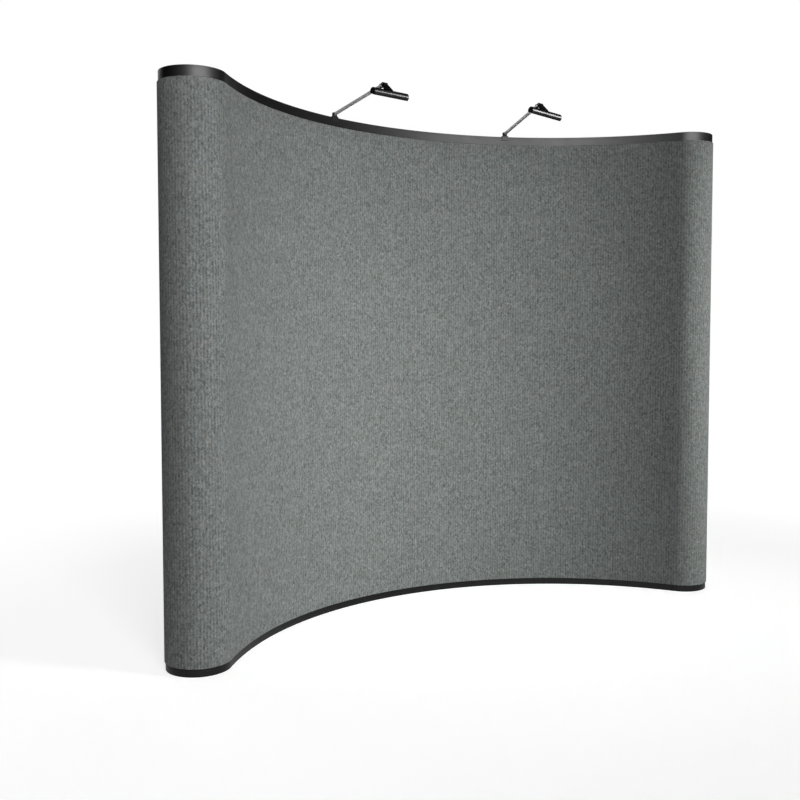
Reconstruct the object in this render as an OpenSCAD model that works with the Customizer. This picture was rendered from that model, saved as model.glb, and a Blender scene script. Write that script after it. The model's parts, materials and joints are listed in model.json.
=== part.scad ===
// Curved pop up display backwall: a folding tube frame that stands open,
// black rails along its top and bottom edges, magnetic fabric panels and
// two clamp-on arm lamps. Millimetres, +Z up. The origin is on the floor at
// the middle of the footprint, and the side that people see faces -Y.

/* [Wall] */
// Height of the whole wall
wall_h = 2250; // [2000:10:2500]
// Radius of the hollow front face, from its centre to the rails
face_r = 1400; // [1250:10:1700]
// Angle that the front face covers
face_arc = 109; // [96:1:114]
// Radius of each half round end
end_r = 126; // [118:1:140]

/* [Panels] */
// Thickness of the stiff board of a panel
board_t = 2.5; // [1.5:0.1:4]
// Thickness of the fabric on the board
fabric_t = 1.5; // [1:0.1:3]
// Gap between neighbouring panels, at the fabric
seam = 0.6; // [0.4:0.1:2]
// Angle that an end panel wraps round its end
end_wrap = 183; // [180:0.5:183]

/* [Rails] */
// Height of the black top band that the panels leave open
header_show = 41; // [36:1:60]
// Height of the black bottom band that the panels leave open
footer_show = 33; // [33:1:50]
// How far each rail reaches behind the panels
rail_lap = 12; // [8:1:20]
// Depth of the rails and of the space for the bars
rail_d = 12; // [11:0.5:16]
// Wall thickness of rails and bars
rail_t = 2; // [1.5:0.1:2.5]
// Height of the lip that a lamp clamp grips
lip_h = 14; // [12:0.5:15]
// Gap between the bottom rail and the floor
floor_gap = 1; // [0.5:0.1:2]

/* [Bars] */
// Width of the upright channel bars
bar_w = 32; // [30:1:40]
// Width of one magnet strip
strip_w = 8; // [5:0.5:9]
// Thickness of the magnet strips
strip_t = 1.5; // [1:0.1:2]

/* [Frame] */
// Outer diameter of the frame tubes
tube_d = 12.7; // [10:0.1:14]
// Wall thickness of the frame tubes
tube_t = 1; // [0.8:0.1:2]
// Radius of the round hubs
hub_r = 26; // [25:0.5:28]
// Depth of the hubs
hub_d = 24; // [22:1:28]
// Height of the lowest hubs above the floor, and of the top below the edge
hub_edge = 30; // [29:0.5:34]
// Distance from the hub centre to a tube pin
pin_out = 17.5; // [16.5:0.1:18.5]
// Diameter of pins and rivets
pin_d = 4; // [3:0.1:5]
// Thickness of the flat tube ends
tang_t = 3; // [2:0.1:3.5]
// Radius of the locking posts
post_r = 7; // [6:0.5:8]
// Radius of the rubber feet
foot_r = 9; // [7:0.5:11]

/* [Lamps] */
// Place of the left lamp along the wall, in degrees from the middle
left_lamp_a = -19.2; // [-22:0.1:-15]
// Place of the right lamp along the wall, in degrees from the middle
right_lamp_a = 19.2; // [15:0.1:22]
// Left arm's swing from square to the wall
left_swing = -3.6; // [-30:0.1:30]
// Right arm's swing from square to the wall
right_swing = 13.7; // [-30:0.1:30]
// Left head's turn on its arm
left_turn = -2.2; // [-30:0.1:30]
// Right head's turn on its arm
right_turn = 15.6; // [-30:0.1:30]
// Rise of both arms
arm_rise = 12.9; // [8:0.1:30]
// Length of an arm between its two pivots
arm_l = 337; // [250:1:450]
// Diameter of an arm
arm_d = 15; // [12:0.5:16]
// Height of an arm's lower pivot above the wall
pivot_h = 16; // [16:0.5:20]
// Length of a lamp head
head_l = 190; // [150:1:240]
// Radius of a lamp head's round housing
head_r = 17; // [15:0.5:20]
// How far a head's axis is below its pivot
head_drop = 50; // [46:1:60]
// How far a head's axis is in front of its pivot
head_ahead = 37; // [30:1:40]
// Direction of a head's opening, back from straight down
aim = 25; // [0:1:45]

/* [Hidden] */
BAYS = 4;
ROWS = 3;
half_arc = face_arc / 2;
bay_arc = face_arc / BAYS;
arc_fn = 360;
fine_fn = 48;
$fn = 32;

// Clearances
seat_gap = 0.3;
butt_gap = 0.6;
run_gap = 0.05;
far = 400;

// Depths are counted from the rails' front face, away from the viewer
panel_t = board_t + fabric_t;
strip_in = seat_gap;
bar_in = strip_in + strip_t;
front_hub_in = rail_d;
front_pin_in = front_hub_in + hub_d / 2;
rear_plane = 2 * end_r;
rear_hub_out = rear_plane - rail_d;
rear_pin_in = rear_hub_out - hub_d / 2;
mid_in = (front_pin_in + rear_pin_in) / 2;

// Heights
panel_lo = footer_show;
panel_hi = wall_h - header_show;
header_lo = panel_hi - rail_lap;
footer_hi = footer_show + rail_lap;
row_step = (wall_h - 2 * hub_edge) / ROWS;
bar_lo = footer_hi + seat_gap;
bar_hi = header_lo - seat_gap;

// Hubs and links
tang_w = tube_d - 0.7;
tang_l = 30;
tube_start = 18;
slot_w = tang_t + 0.4;
slot_from = pin_out - tang_w / 2 - 0.65;
slot_floor = hub_d / 2 - tang_w / 2 - 1;
pair_gap = 1.2;
side = (tube_d + pair_gap) / 2;
pin_half = 8;
boss_w = bar_w - 2 * rail_t - 2 * seat_gap;
boss_h = 24;
boss_l = rail_d - bar_in - rail_t - seat_gap;
rivet_head_r = 4;
rivet_head_t = 1.6;
washer_r = 5;

// Lamp clamp, heights counted from the top of the wall
clamp_w = 32;
jaw_t = 3;
jaw_drop = 18;
bridge_t = 4;
rear_jaw_in = rail_d + 6;
rear_jaw_t = 8;
rear_jaw_drop = 15;
screw_drop = 7;
screw_r = 3;
pad_r = 5.5;
pad_t = 2;
knob_r = 8;
knob_l = 10;
flute_r = 2;
screw_out = rear_jaw_in + rear_jaw_t + 3;
lamp_in = 6;
turret_lo = seat_gap + bridge_t + seat_gap;
turret_r = 13;
turret_t = 2.7;
stud_r = 4;

// Lamp arm and head
ear_gap = 10.6;
ear_t = 3;
ear_r = 8;
bolt_r = 3;
eye_r = 9;
eye_h = 9.6;
eye_back = 18;
flat_end = 12;
flat_in = 8;
arm_wall = 1.2;
fork_t = 2.5;
fork_gap = 0.3;
barrel_r = 7.6;
barrel_w = 14;
small_bolt_r = 2.5;
wall_t = 1.6;
cap_t = 3;
mouth = 100;
bulb_r = 4;
bulb_cap_r = 6;
bulb_cap_l = 12;
bulb_in = 2;
glass_t = 2;

// Footprint, from the foremost point of the half round ends to the hubs
end_x = (face_r + end_r) * sin(half_arc);
end_y = (face_r + end_r) * cos(half_arc) - face_r;
front_y = end_y - end_r - seat_gap - panel_t;
back_y = rear_hub_out + boss_l;
middle_y = (front_y + back_y) / 2;

function col_a(i) = -half_arc + i * bay_arc;
function row_z(j) = hub_edge + j * row_step;

// A bay's crossing tubes, in the frame of the arc's centre with the bay's
// middle along +Y
half_bay = bay_arc / 2;
row_from = [
    -(face_r + front_pin_in) * sin(half_bay) + pin_out * cos(half_bay),
    (face_r + front_pin_in) * cos(half_bay) + pin_out * sin(half_bay)
];
row_to = [
    (face_r + rear_pin_in) * sin(half_bay) - pin_out * cos(half_bay),
    (face_r + rear_pin_in) * cos(half_bay) + pin_out * sin(half_bay)
];
row_run = row_to - row_from;
row_l = norm(row_run);
row_share = -row_from[0] / row_run[0];
row_cross_y = row_from[1] + row_share * row_run[1];
col_rise = row_step - 2 * pin_out;
col_run = rear_pin_in - front_pin_in;
col_l = norm([col_run, col_rise]);
col_lean = atan2(col_run, col_rise);

// Moves the wall so that the middle of its footprint is at the origin
module placed() {
    translate([0, -middle_y, 0]) children();
}

// Frame at angle a along the wall: X along it, Y away from the viewer
module at_wall(a, depth = 0, z = 0) {
    translate([0, -face_r, 0]) rotate(-a) translate([0, face_r + depth, z]) children();
}

// Frame at the centre of the right half round end, X pointing outward
module at_right_end() {
    at_wall(half_arc, end_r) children();
}

module mirrored_if(flip) {
    mirror([flip ? 1 : 0, 0, 0]) children();
}

// A profile of depth by height, swept along the wall between two angles
module swept(a0, a1) {
    translate([0, -face_r, 0]) rotate(90 - a1)
        rotate_extrude(angle = a1 - a0, $fn = arc_fn)
            translate([face_r, 0]) children();
}

// The same profile, swept round the right end from its seam
module swept_end(start, wrap) {
    at_right_end() rotate(start - 90)
        rotate_extrude(angle = wrap - start, $fn = arc_fn / 2)
            translate([end_r, 0]) mirror([1, 0]) children();
}

// ---- Frame ----

module slot_cut() {
    translate([slot_from, slot_floor, side - slot_w / 2])
        cube([hub_r, hub_d, slot_w]);
    translate([pin_out, hub_d / 2, side - pin_half])
        cylinder(h = hub_r, d = pin_d + 2 * run_gap);
}

// One hub: its closed face at Y = 0 carries the boss, its slots open to +Y
module hub() {
    difference() {
        rotate([-90, 0, 0]) cylinder(h = hub_d, r = hub_r, $fn = fine_fn);
        for (k = [0:3]) rotate([0, -90 * k, 0]) slot_cut();
    }
    translate([-boss_w / 2, -boss_l, -boss_h / 2]) cube([boss_w, boss_l + 1, boss_h]);
}

module at_front_hub(i, j) {
    at_wall(col_a(i), front_hub_in, row_z(j)) children();
}

// The rear hubs are the same part, turned round
module at_rear_hub(i, j) {
    at_wall(col_a(i), rear_hub_out, row_z(j)) rotate(180) children();
}

module front_hubs() {
    color([0.13, 0.13, 0.14])
        for (i = [0:BAYS], j = [0:ROWS]) at_front_hub(i, j) hub();
}

module rear_hubs() {
    color([0.13, 0.13, 0.14])
        for (i = [0:BAYS], j = [0:ROWS]) at_rear_hub(i, j) hub();
}

module hub_pin(k) {
    rotate([0, -90 * k, 0]) translate([pin_out, hub_d / 2, side - pin_half + seat_gap])
        cylinder(h = 2 * pin_half - seat_gap, d = pin_d);
}

// Pins only where a tube arrives: right, up, left and down of each hub
module hub_pins() {
    color([0.75, 0.76, 0.78])
        for (i = [0:BAYS], j = [0:ROWS]) {
            front_used = [i < BAYS, j < ROWS, i > 0, j > 0];
            rear_used = [i > 0, j < ROWS, i < BAYS, j > 0];
            for (k = [0:3]) {
                if (front_used[k]) at_front_hub(i, j) hub_pin(k);
                if (rear_used[k]) at_rear_hub(i, j) hub_pin(k);
            }
        }
}

// A tube with flat ends that are drilled for the hub pins, along +X
module link(l, cross_at) {
    difference() {
        union() {
            translate([tube_start, 0, 0]) rotate([0, 90, 0]) difference() {
                cylinder(h = l - 2 * tube_start, d = tube_d);
                translate([0, 0, -1])
                    cylinder(h = l - 2 * tube_start + 2, d = tube_d - 2 * tube_t);
            }
            for (end = [0, 1]) translate([end * l, 0, 0]) mirror([end, 0, 0]) {
                cylinder(h = tang_t, d = tang_w, center = true);
                translate([0, -tang_w / 2, -tang_t / 2]) cube([tang_l, tang_w, tang_t]);
            }
        }
        for (x = [0, l]) translate([x, 0, 0])
            cylinder(h = 2 * tang_t, d = pin_d + 2 * run_gap, center = true);
        translate([cross_at, 0, 0])
            cylinder(h = 2 * tube_d, d = pin_d + 2 * run_gap, center = true);
    }
}

// Frame of a bay: the arc's centre, with the bay's middle along +Y
module at_bay(i, j) {
    translate([0, -face_r, row_z(j)]) rotate(-(col_a(i) + half_bay)) children();
}

module row_link() {
    translate([row_from[0], row_from[1], side])
        rotate(atan2(row_run[1], row_run[0])) link(row_l, row_share * row_l);
}

module row_tubes() {
    color([0.72, 0.73, 0.75])
        for (i = [0:BAYS - 1], j = [0:ROWS]) at_bay(i, j) {
            row_link();
            rotate([0, 180, 0]) row_link();
        }
}

// Frame of a column's bay: X along the wall, Y depth, Z up from mid height
module at_column(i, j) {
    at_wall(col_a(i), mid_in, row_z(j) + row_step / 2) children();
}

module column_link() {
    translate([-side, 0, 0]) rotate([-col_lean, 0, 0]) rotate([0, -90, 0])
        translate([-col_l / 2, 0, 0]) link(col_l, col_l / 2);
}

module column_tubes() {
    color([0.72, 0.73, 0.75])
        for (i = [0:BAYS], j = [0:ROWS - 1]) at_column(i, j) {
            column_link();
            rotate([0, 180, 0]) column_link();
        }
}

// A rivet through two crossing tubes, with the washer between them
module rivet() {
    grip = side + tube_d / 2 + run_gap;
    cylinder(h = 2 * grip + 1, d = pin_d, center = true);
    cylinder(h = pair_gap - 2 * run_gap, r = washer_r, center = true);
    for (flip = [0, 1]) mirror([0, 0, flip])
        translate([0, 0, grip]) cylinder(h = rivet_head_t, r = rivet_head_r);
}

module cross_rivets() {
    color([0.3, 0.3, 0.32]) {
        for (i = [0:BAYS - 1], j = [0:ROWS])
            at_bay(i, j) translate([0, row_cross_y, 0]) rivet();
        for (i = [0:BAYS], j = [0:ROWS - 1])
            at_column(i, j) rotate([0, 90, 0]) rivet();
    }
}

// Posts between front and rear hubs of the middle cells hold the frame open
module lock_post(spigot) {
    reach = mid_in - front_hub_in - hub_d - seat_gap;
    plug_r = post_r - 2;
    plug_l = 12;
    translate([0, hub_d, 0]) rotate([-90, 0, 0])
        if (spigot) {
            cylinder(h = reach, r = post_r);
            cylinder(h = reach + plug_l, r = plug_r);
        } else difference() {
            cylinder(h = reach, r = post_r);
            translate([0, 0, reach - plug_l - 2])
                cylinder(h = plug_l + 3, r = plug_r + run_gap * 4);
        }
}

module front_lock_posts() {
    color([0.13, 0.13, 0.14])
        for (i = [1:BAYS - 1], j = [1:ROWS - 1]) at_front_hub(i, j) lock_post(false);
}

module rear_lock_posts() {
    color([0.13, 0.13, 0.14])
        for (i = [1:BAYS - 1], j = [1:ROWS - 1]) at_rear_hub(i, j) lock_post(true);
}

module foot() {
    translate([0, hub_d / 2, -hub_edge]) difference() {
        cylinder(h = hub_edge - hub_r + 4, r = foot_r);
        translate([0, -hub_d, hub_edge]) rotate([-90, 0, 0])
            cylinder(h = 2 * hub_d, r = hub_r + run_gap, $fn = fine_fn);
    }
}

module feet() {
    color([0.08, 0.08, 0.08])
        for (i = [0:BAYS]) {
            at_front_hub(i, 0) foot();
            at_rear_hub(i, 0) foot();
        }
}

// ---- Bars and magnet strips ----

// One channel section in three lengths that meet at the middle hubs
module channel_bar() {
    for (j = [0:ROWS - 1]) {
        lo = j == 0 ? bar_lo : row_z(j) + butt_gap / 2;
        hi = j == ROWS - 1 ? bar_hi : row_z(j + 1) - butt_gap / 2;
        translate([0, 0, lo]) linear_extrude(hi - lo) difference() {
            translate([-bar_w / 2, bar_in]) square([bar_w, rail_d - bar_in]);
            translate([-bar_w / 2 + rail_t, bar_in + rail_t])
                square([bar_w - 2 * rail_t, rail_d]);
        }
    }
}

module front_bar(i) {
    color([0.6, 0.61, 0.63]) at_wall(col_a(i)) channel_bar();
}

module at_rear_bar(flip) {
    mirrored_if(flip) at_wall(half_arc, rear_plane) mirror([0, 1, 0]) children();
}

module rear_bar(flip) {
    color([0.6, 0.61, 0.63]) at_rear_bar(flip) channel_bar();
}

module strip_pair() {
    for (s = [-1, 1])
        translate([s * (strip_w / 2 + 1.5) - strip_w / 2, strip_in, bar_lo + 2])
            cube([strip_w, strip_t, bar_hi - bar_lo - 4]);
}

module magnet_strips() {
    color([0.16, 0.13, 0.11]) {
        for (i = [0:BAYS]) at_wall(col_a(i)) strip_pair();
        for (flip = [false, true]) at_rear_bar(flip) strip_pair();
    }
}

// ---- Rails ----

module channel_profile(lo, hi) {
    translate([0, lo]) square([rail_t, hi - lo]);
    translate([0, lo]) square([rail_d, rail_t]);
    translate([0, hi - rail_t]) square([rail_d, rail_t]);
}

// The header rail's profile has a lip behind its top edge for lamp clamps
module header_profile() {
    channel_profile(header_lo, wall_h);
    translate([rail_d - rail_t, wall_h - lip_h]) square([rail_t, lip_h]);
}

module footer_profile() {
    channel_profile(floor_gap, footer_hi);
}

// Four curved lengths that meet in front of the hubs
module curved_lengths() {
    gap_a = asin(seat_gap / face_r) / 2;
    for (i = [0:BAYS - 1]) swept(col_a(i) + gap_a, col_a(i + 1) - gap_a) children();
}

// A half round end of a rail, cut back where it would touch the corner hubs
module rail_end(flip, z) {
    relief_r = hub_r + 2 * seat_gap;
    mirrored_if(flip) difference() {
        swept_end(asin(seat_gap / end_r), 180) children();
        at_wall(half_arc, front_hub_in, z) rotate([-90, 0, 0])
            cylinder(h = hub_d, r = relief_r, $fn = fine_fn);
        at_wall(half_arc, rear_hub_out, z) rotate([90, 0, 0])
            cylinder(h = hub_d, r = relief_r, $fn = fine_fn);
    }
}

module header_rail() {
    color([0.06, 0.06, 0.065]) curved_lengths() header_profile();
}

module header_end(flip) {
    color([0.06, 0.06, 0.065]) rail_end(flip, row_z(ROWS)) header_profile();
}

module footer_rail() {
    color([0.06, 0.06, 0.065]) curved_lengths() footer_profile();
}

module footer_end(flip) {
    color([0.06, 0.06, 0.065]) rail_end(flip, row_z(0)) footer_profile();
}

// ---- Panels ----

// A sheet between two distances in front of the rails
module sheet_profile(near, far_side) {
    translate([-far_side, panel_lo]) square([far_side - near, panel_hi - panel_lo]);
}

// The side edges run along the panel's own way forward, so it lifts clear
module front_sheet(i, near, far_side) {
    half_w = (face_r - seat_gap - panel_t) * sin(half_bay) - seam / 2;
    intersection() {
        swept(col_a(i) - 1, col_a(i + 1) + 1) sheet_profile(near, far_side);
        at_wall(col_a(i) + half_bay) translate([-half_w, -far / 2, 0])
            cube([2 * half_w, far, wall_h]);
    }
}

module end_sheet(flip, near, far_side) {
    mirrored_if(flip) swept_end(asin(seam / 2 / end_r), end_wrap)
        sheet_profile(near, far_side);
}

module front_board(i) {
    color([0.2, 0.2, 0.2]) front_sheet(i, seat_gap, seat_gap + board_t);
}

module front_fabric(i) {
    color([0.43, 0.445, 0.44])
        front_sheet(i, seat_gap + board_t, seat_gap + panel_t);
}

module end_board(flip) {
    color([0.2, 0.2, 0.2]) end_sheet(flip, seat_gap, seat_gap + board_t);
}

module end_fabric(flip) {
    color([0.43, 0.445, 0.44])
        end_sheet(flip, seat_gap + board_t, seat_gap + panel_t);
}

// ---- Lamps ----

// A lamp is its place along the wall, its swing and its head's turn
left_lamp = [left_lamp_a, left_swing, left_turn];
right_lamp = [right_lamp_a, right_swing, right_turn];

// Frame of a lamp's clamp: Z = 0 at the top of the wall
module at_clamp(lamp) {
    at_wall(lamp[0], 0, wall_h) children();
}

// Frame of the lower pivot, Y pointing back along the arm's own direction
module at_turret(lamp) {
    at_clamp(lamp) translate([0, lamp_in, 0]) rotate(lamp[1]) children();
}

// Frame of the arm: Y points back, from the lower pivot
module at_arm(lamp) {
    at_turret(lamp) translate([0, 0, pivot_h]) rotate([-arm_rise, 0, 0]) children();
}

// Frame of the knuckle's pin at the arm's tip
module at_knuckle(lamp) {
    at_arm(lamp) translate([0, -arm_l + eye_back, 0]) rotate(lamp[2]) children();
}

// Frame of the head's pivot, level again
module at_head(lamp) {
    at_knuckle(lamp) translate([0, -eye_back, 0]) rotate([arm_rise, 0, 0]) children();
}

// Frame of the head's long axis, along X
module at_housing(lamp) {
    at_head(lamp) translate([0, -head_ahead, -head_drop]) children();
}

module clamp(lamp) {
    color([0.09, 0.08, 0.08]) at_clamp(lamp) difference() {
        union() {
            translate([-clamp_w / 2, -jaw_t - seat_gap, -jaw_drop])
                cube([clamp_w, jaw_t, jaw_drop + seat_gap + bridge_t]);
            translate([-clamp_w / 2, -jaw_t - seat_gap, seat_gap])
                cube([clamp_w, jaw_t + seat_gap + rear_jaw_in + rear_jaw_t, bridge_t]);
            translate([-clamp_w / 2, rear_jaw_in, -rear_jaw_drop])
                cube([clamp_w, rear_jaw_t, rear_jaw_drop + seat_gap + bridge_t]);
        }
        translate([0, rear_jaw_in - 1, -screw_drop]) rotate([-90, 0, 0])
            cylinder(h = rear_jaw_t + 2, r = screw_r + run_gap);
        translate([0, lamp_in, 0]) cylinder(h = 2 * bridge_t, r = stud_r + run_gap);
    }
}

module clamp_pad(lamp) {
    color([0.5, 0.5, 0.52]) at_clamp(lamp)
        translate([0, rail_d + seat_gap, -screw_drop]) rotate([-90, 0, 0])
            cylinder(h = pad_t, r = pad_r);
}

// The screw and its fluted hand knob are one piece
module clamp_screw(lamp) {
    screw_from = rail_d + 2 * seat_gap + pad_t;
    flutes = 8;
    color([0.09, 0.09, 0.09]) at_clamp(lamp)
        translate([0, 0, -screw_drop]) rotate([-90, 0, 0]) {
            translate([0, 0, screw_from]) cylinder(h = screw_out - screw_from + 1, r = screw_r);
            translate([0, 0, screw_out]) difference() {
                cylinder(h = knob_l, r = knob_r);
                for (k = [0:flutes - 1]) rotate(360 / flutes * k)
                    translate([knob_r + flute_r / 2, 0, -1])
                        cylinder(h = knob_l + 2, r = flute_r, $fn = 16);
            }
        }
}

// The turning base with its two ears, and the arm's bolt in them
module turret(lamp) {
    ear_out = ear_gap / 2 + ear_t;
    bolt_half = ear_out + 0.3;
    color([0.09, 0.09, 0.09]) at_turret(lamp) {
        difference() {
            union() {
                translate([0, 0, turret_lo]) cylinder(h = turret_t, r = turret_r);
                translate([0, 0, seat_gap + 0.1]) cylinder(h = turret_lo, r = stud_r);
                for (s = [0, 1]) mirror([s, 0, 0]) {
                    translate([ear_gap / 2, -ear_r, turret_lo])
                        cube([ear_t, 2 * ear_r, pivot_h - turret_lo]);
                    translate([ear_gap / 2, 0, pivot_h]) rotate([0, 90, 0])
                        cylinder(h = ear_t, r = ear_r);
                }
            }
            translate([0, 0, pivot_h]) rotate([0, 90, 0])
                cylinder(h = 2 * turret_r, r = bolt_r + run_gap, center = true);
        }
        translate([0, 0, pivot_h]) rotate([0, 90, 0]) {
            cylinder(h = 2 * bolt_half + 1, r = bolt_r, center = true);
            for (s = [0, 1]) mirror([0, 0, s])
                translate([0, 0, bolt_half]) cylinder(h = 3, r = bolt_r + 2);
        }
    }
}

// A tube with a flat eye at each end: the lower eye turns on a level bolt,
// the upper one carries the knuckle's pin
module arm(lamp) {
    tang_half = arm_d / 2 - 0.3;
    tube_from = flat_end;
    tube_to = arm_l - eye_back - flat_end;
    color([0.62, 0.63, 0.64]) at_arm(lamp) difference() {
        union() {
            translate([0, -tube_from, 0]) rotate([90, 0, 0]) difference() {
                cylinder(h = tube_to - tube_from, d = arm_d);
                translate([0, 0, -1])
                    cylinder(h = tube_to - tube_from + 2, d = arm_d - 2 * arm_wall);
            }
            rotate([0, 90, 0])
                cylinder(h = ear_gap - 2 * seat_gap, r = tang_half, center = true);
            translate([-ear_gap / 2 + seat_gap, -tube_from - flat_in, -tang_half])
                cube([ear_gap - 2 * seat_gap, tube_from + flat_in, 2 * tang_half]);
            translate([0, -arm_l + eye_back, 0])
                cylinder(h = eye_h, r = eye_r, center = true);
            translate([-tang_half, -tube_to - flat_end, -eye_h / 2])
                cube([2 * tang_half, flat_end + flat_in, eye_h]);
        }
        rotate([0, 90, 0]) cylinder(h = 2 * arm_d, r = bolt_r + run_gap, center = true);
        translate([0, -arm_l + eye_back, 0])
            cylinder(h = 2 * arm_d, r = small_bolt_r + run_gap, center = true);
    }
}

// A fork round the arm's upper eye with the head's barrel in front of it,
// and the pin that holds it
module knuckle(lamp) {
    in_h = eye_h / 2 + fork_gap;
    out_h = in_h + fork_t;
    fork_half = eye_r - 1;
    color([0.09, 0.09, 0.09]) at_knuckle(lamp) {
        difference() {
            union() {
                for (s = [0, 1]) mirror([0, 0, s]) {
                    translate([0, 0, in_h]) cylinder(h = fork_t, r = fork_half);
                    translate([-barrel_w / 2, -eye_back, in_h])
                        cube([barrel_w, eye_back, fork_t]);
                }
                translate([0, -eye_back, 0]) rotate([0, 90, 0])
                    cylinder(h = barrel_w, r = barrel_r, center = true);
            }
            cylinder(h = 4 * eye_h, r = small_bolt_r + run_gap, center = true);
            translate([0, -eye_back, 0]) rotate([0, 90, 0])
                cylinder(h = 2 * barrel_w, r = small_bolt_r + run_gap, center = true);
        }
        cylinder(h = 2 * out_h + 1, r = small_bolt_r, center = true);
        for (s = [0, 1]) mirror([0, 0, s])
            translate([0, 0, out_h + run_gap]) cylinder(h = 1.5, r = small_bolt_r + 2);
    }
}

// One three-cornered ear from the pivot to the housing, as a flat shape
module ear_shape(saddle_r) {
    difference() {
        union() {
            circle(r = barrel_r);
            polygon([
                [0, barrel_r],
                [head_drop - head_r * 0.7, head_r * 0.7 - head_ahead],
                [head_drop, -head_ahead],
                [head_drop - head_r, -head_ahead - head_r * 0.7],
                [-4, -barrel_r + 1]
            ]);
        }
        circle(r = small_bolt_r + run_gap);
        translate([head_drop, -head_ahead]) circle(r = saddle_r);
    }
}

// A strap round the top of the housing, as a flat shape
module saddle_shape(saddle_r, saddle_t) {
    difference() {
        circle(r = saddle_r + saddle_t);
        circle(r = saddle_r);
        translate([-2, -2 * saddle_r]) square(4 * saddle_r);
    }
}

// Two ears on a saddle, and the tilt bolt with its hand knob
module bracket(lamp) {
    ear_in = barrel_w / 2 + seat_gap;
    ear_out = ear_in + fork_t;
    saddle_r = head_r + run_gap;
    saddle_t = 2.2;
    color([0.09, 0.09, 0.09]) at_head(lamp) rotate([0, 90, 0]) {
        for (s = [0, 1]) mirror([0, 0, s]) translate([0, 0, ear_in])
            linear_extrude(fork_t) ear_shape(saddle_r);
        translate([head_drop, -head_ahead, -ear_out]) linear_extrude(2 * ear_out)
            saddle_shape(saddle_r, saddle_t);
        translate([0, 0, -ear_out - 2]) cylinder(h = 2 * ear_out + 4, r = small_bolt_r);
        translate([0, 0, -ear_out - 3]) cylinder(h = 2.9, r = small_bolt_r + 2);
        translate([0, 0, ear_out + 0.1]) cylinder(h = 8, r = barrel_r);
    }
}

// The head's profile, a round trough open towards the aim
module trough(r_out, r_in) {
    difference() {
        circle(r = r_out);
        circle(r = r_in);
        rotate(aim) translate([r_out * cos(mouth / 2), -r_out]) square(2 * r_out);
    }
}

module along_head(l) {
    rotate([0, 90, 0]) linear_extrude(l, center = true) children();
}

module housing(lamp) {
    mouth_in = head_r * cos(mouth / 2);
    color([0.09, 0.09, 0.09]) at_housing(lamp) {
        along_head(head_l) trough(head_r, head_r - wall_t);
        for (s = [0, 1]) mirror([s, 0, 0]) translate([head_l / 2 - cap_t / 2, 0, 0])
            along_head(cap_t) intersection() {
                circle(r = head_r);
                rotate(aim) translate([-head_r, -head_r])
                    square([head_r + mouth_in, 2 * head_r]);
            }
    }
}

module reflector(lamp) {
    color([0.85, 0.85, 0.86]) at_housing(lamp)
        along_head(head_l - 2 * cap_t - 2 * seat_gap)
            trough(head_r - wall_t - run_gap, head_r - wall_t - 1);
}

module bulb(lamp) {
    bulb_l = head_l - 2 * cap_t - 2 * seat_gap;
    color([0.93, 0.93, 0.9]) at_housing(lamp) {
        along_head(bulb_l - 2 * (bulb_cap_l - bulb_in)) circle(r = bulb_r);
        for (s = [0, 1]) mirror([s, 0, 0]) translate([(bulb_l - bulb_cap_l) / 2, 0, 0])
            along_head(bulb_cap_l) circle(r = bulb_cap_r);
    }
}

module glass(lamp) {
    mouth_in = (head_r - wall_t - 1) * cos(mouth / 2);
    glass_w = 2 * (head_r - wall_t - 1.3) * sin(mouth / 2);
    color([0.8, 0.85, 0.86, 0.4]) at_housing(lamp)
        along_head(head_l - 2 * cap_t - 2 * seat_gap) rotate(aim)
            translate([mouth_in - glass_t, -glass_w / 2]) square([glass_t, glass_w]);
}

// The cable gland at the back of the housing's right end
module gland(lamp) {
    color([0.06, 0.06, 0.06]) at_housing(lamp)
        translate([head_l / 2 + run_gap, 0, 0]) rotate([0, 90, 0]) difference() {
            union() {
                cylinder(h = 4, r = 6);
                cylinder(h = 12, r = 4);
            }
            translate([0, 0, 1]) cylinder(h = 12, r = 2.2);
        }
}

placed() front_hubs();
placed() rear_hubs();
placed() hub_pins();
placed() row_tubes();
placed() column_tubes();
placed() cross_rivets();
placed() front_lock_posts();
placed() rear_lock_posts();
placed() feet();
placed() front_bar(0);  // channel_bar_1
placed() front_bar(1);  // channel_bar_2
placed() front_bar(2);  // channel_bar_3
placed() front_bar(3);  // channel_bar_4
placed() front_bar(4);  // channel_bar_5
placed() rear_bar(true);  // rear_bar_left
placed() rear_bar(false);  // rear_bar_right
placed() magnet_strips();
placed() header_rail();
placed() header_end(true);  // header_end_left
placed() header_end(false);  // header_end_right
placed() footer_rail();
placed() footer_end(true);  // footer_end_left
placed() footer_end(false);  // footer_end_right
placed() front_board(0);  // panel_1_board
placed() front_fabric(0);  // panel_1_fabric
placed() front_board(1);  // panel_2_board
placed() front_fabric(1);  // panel_2_fabric
placed() front_board(2);  // panel_3_board
placed() front_fabric(2);  // panel_3_fabric
placed() front_board(3);  // panel_4_board
placed() front_fabric(3);  // panel_4_fabric
placed() end_board(true);  // end_left_board
placed() end_fabric(true);  // end_left_fabric
placed() end_board(false);  // end_right_board
placed() end_fabric(false);  // end_right_fabric
placed() clamp(left_lamp);  // left_clamp
placed() clamp_pad(left_lamp);  // left_clamp_pad
placed() clamp_screw(left_lamp);  // left_clamp_screw
placed() turret(left_lamp);  // left_turret
placed() arm(left_lamp);  // left_arm
placed() knuckle(left_lamp);  // left_knuckle
placed() bracket(left_lamp);  // left_bracket
placed() housing(left_lamp);  // left_housing
placed() reflector(left_lamp);  // left_reflector
placed() bulb(left_lamp);  // left_bulb
placed() glass(left_lamp);  // left_glass
placed() gland(left_lamp);  // left_gland
placed() clamp(right_lamp);  // right_clamp
placed() clamp_pad(right_lamp);  // right_clamp_pad
placed() clamp_screw(right_lamp);  // right_clamp_screw
placed() turret(right_lamp);  // right_turret
placed() arm(right_lamp);  // right_arm
placed() knuckle(right_lamp);  // right_knuckle
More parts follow.
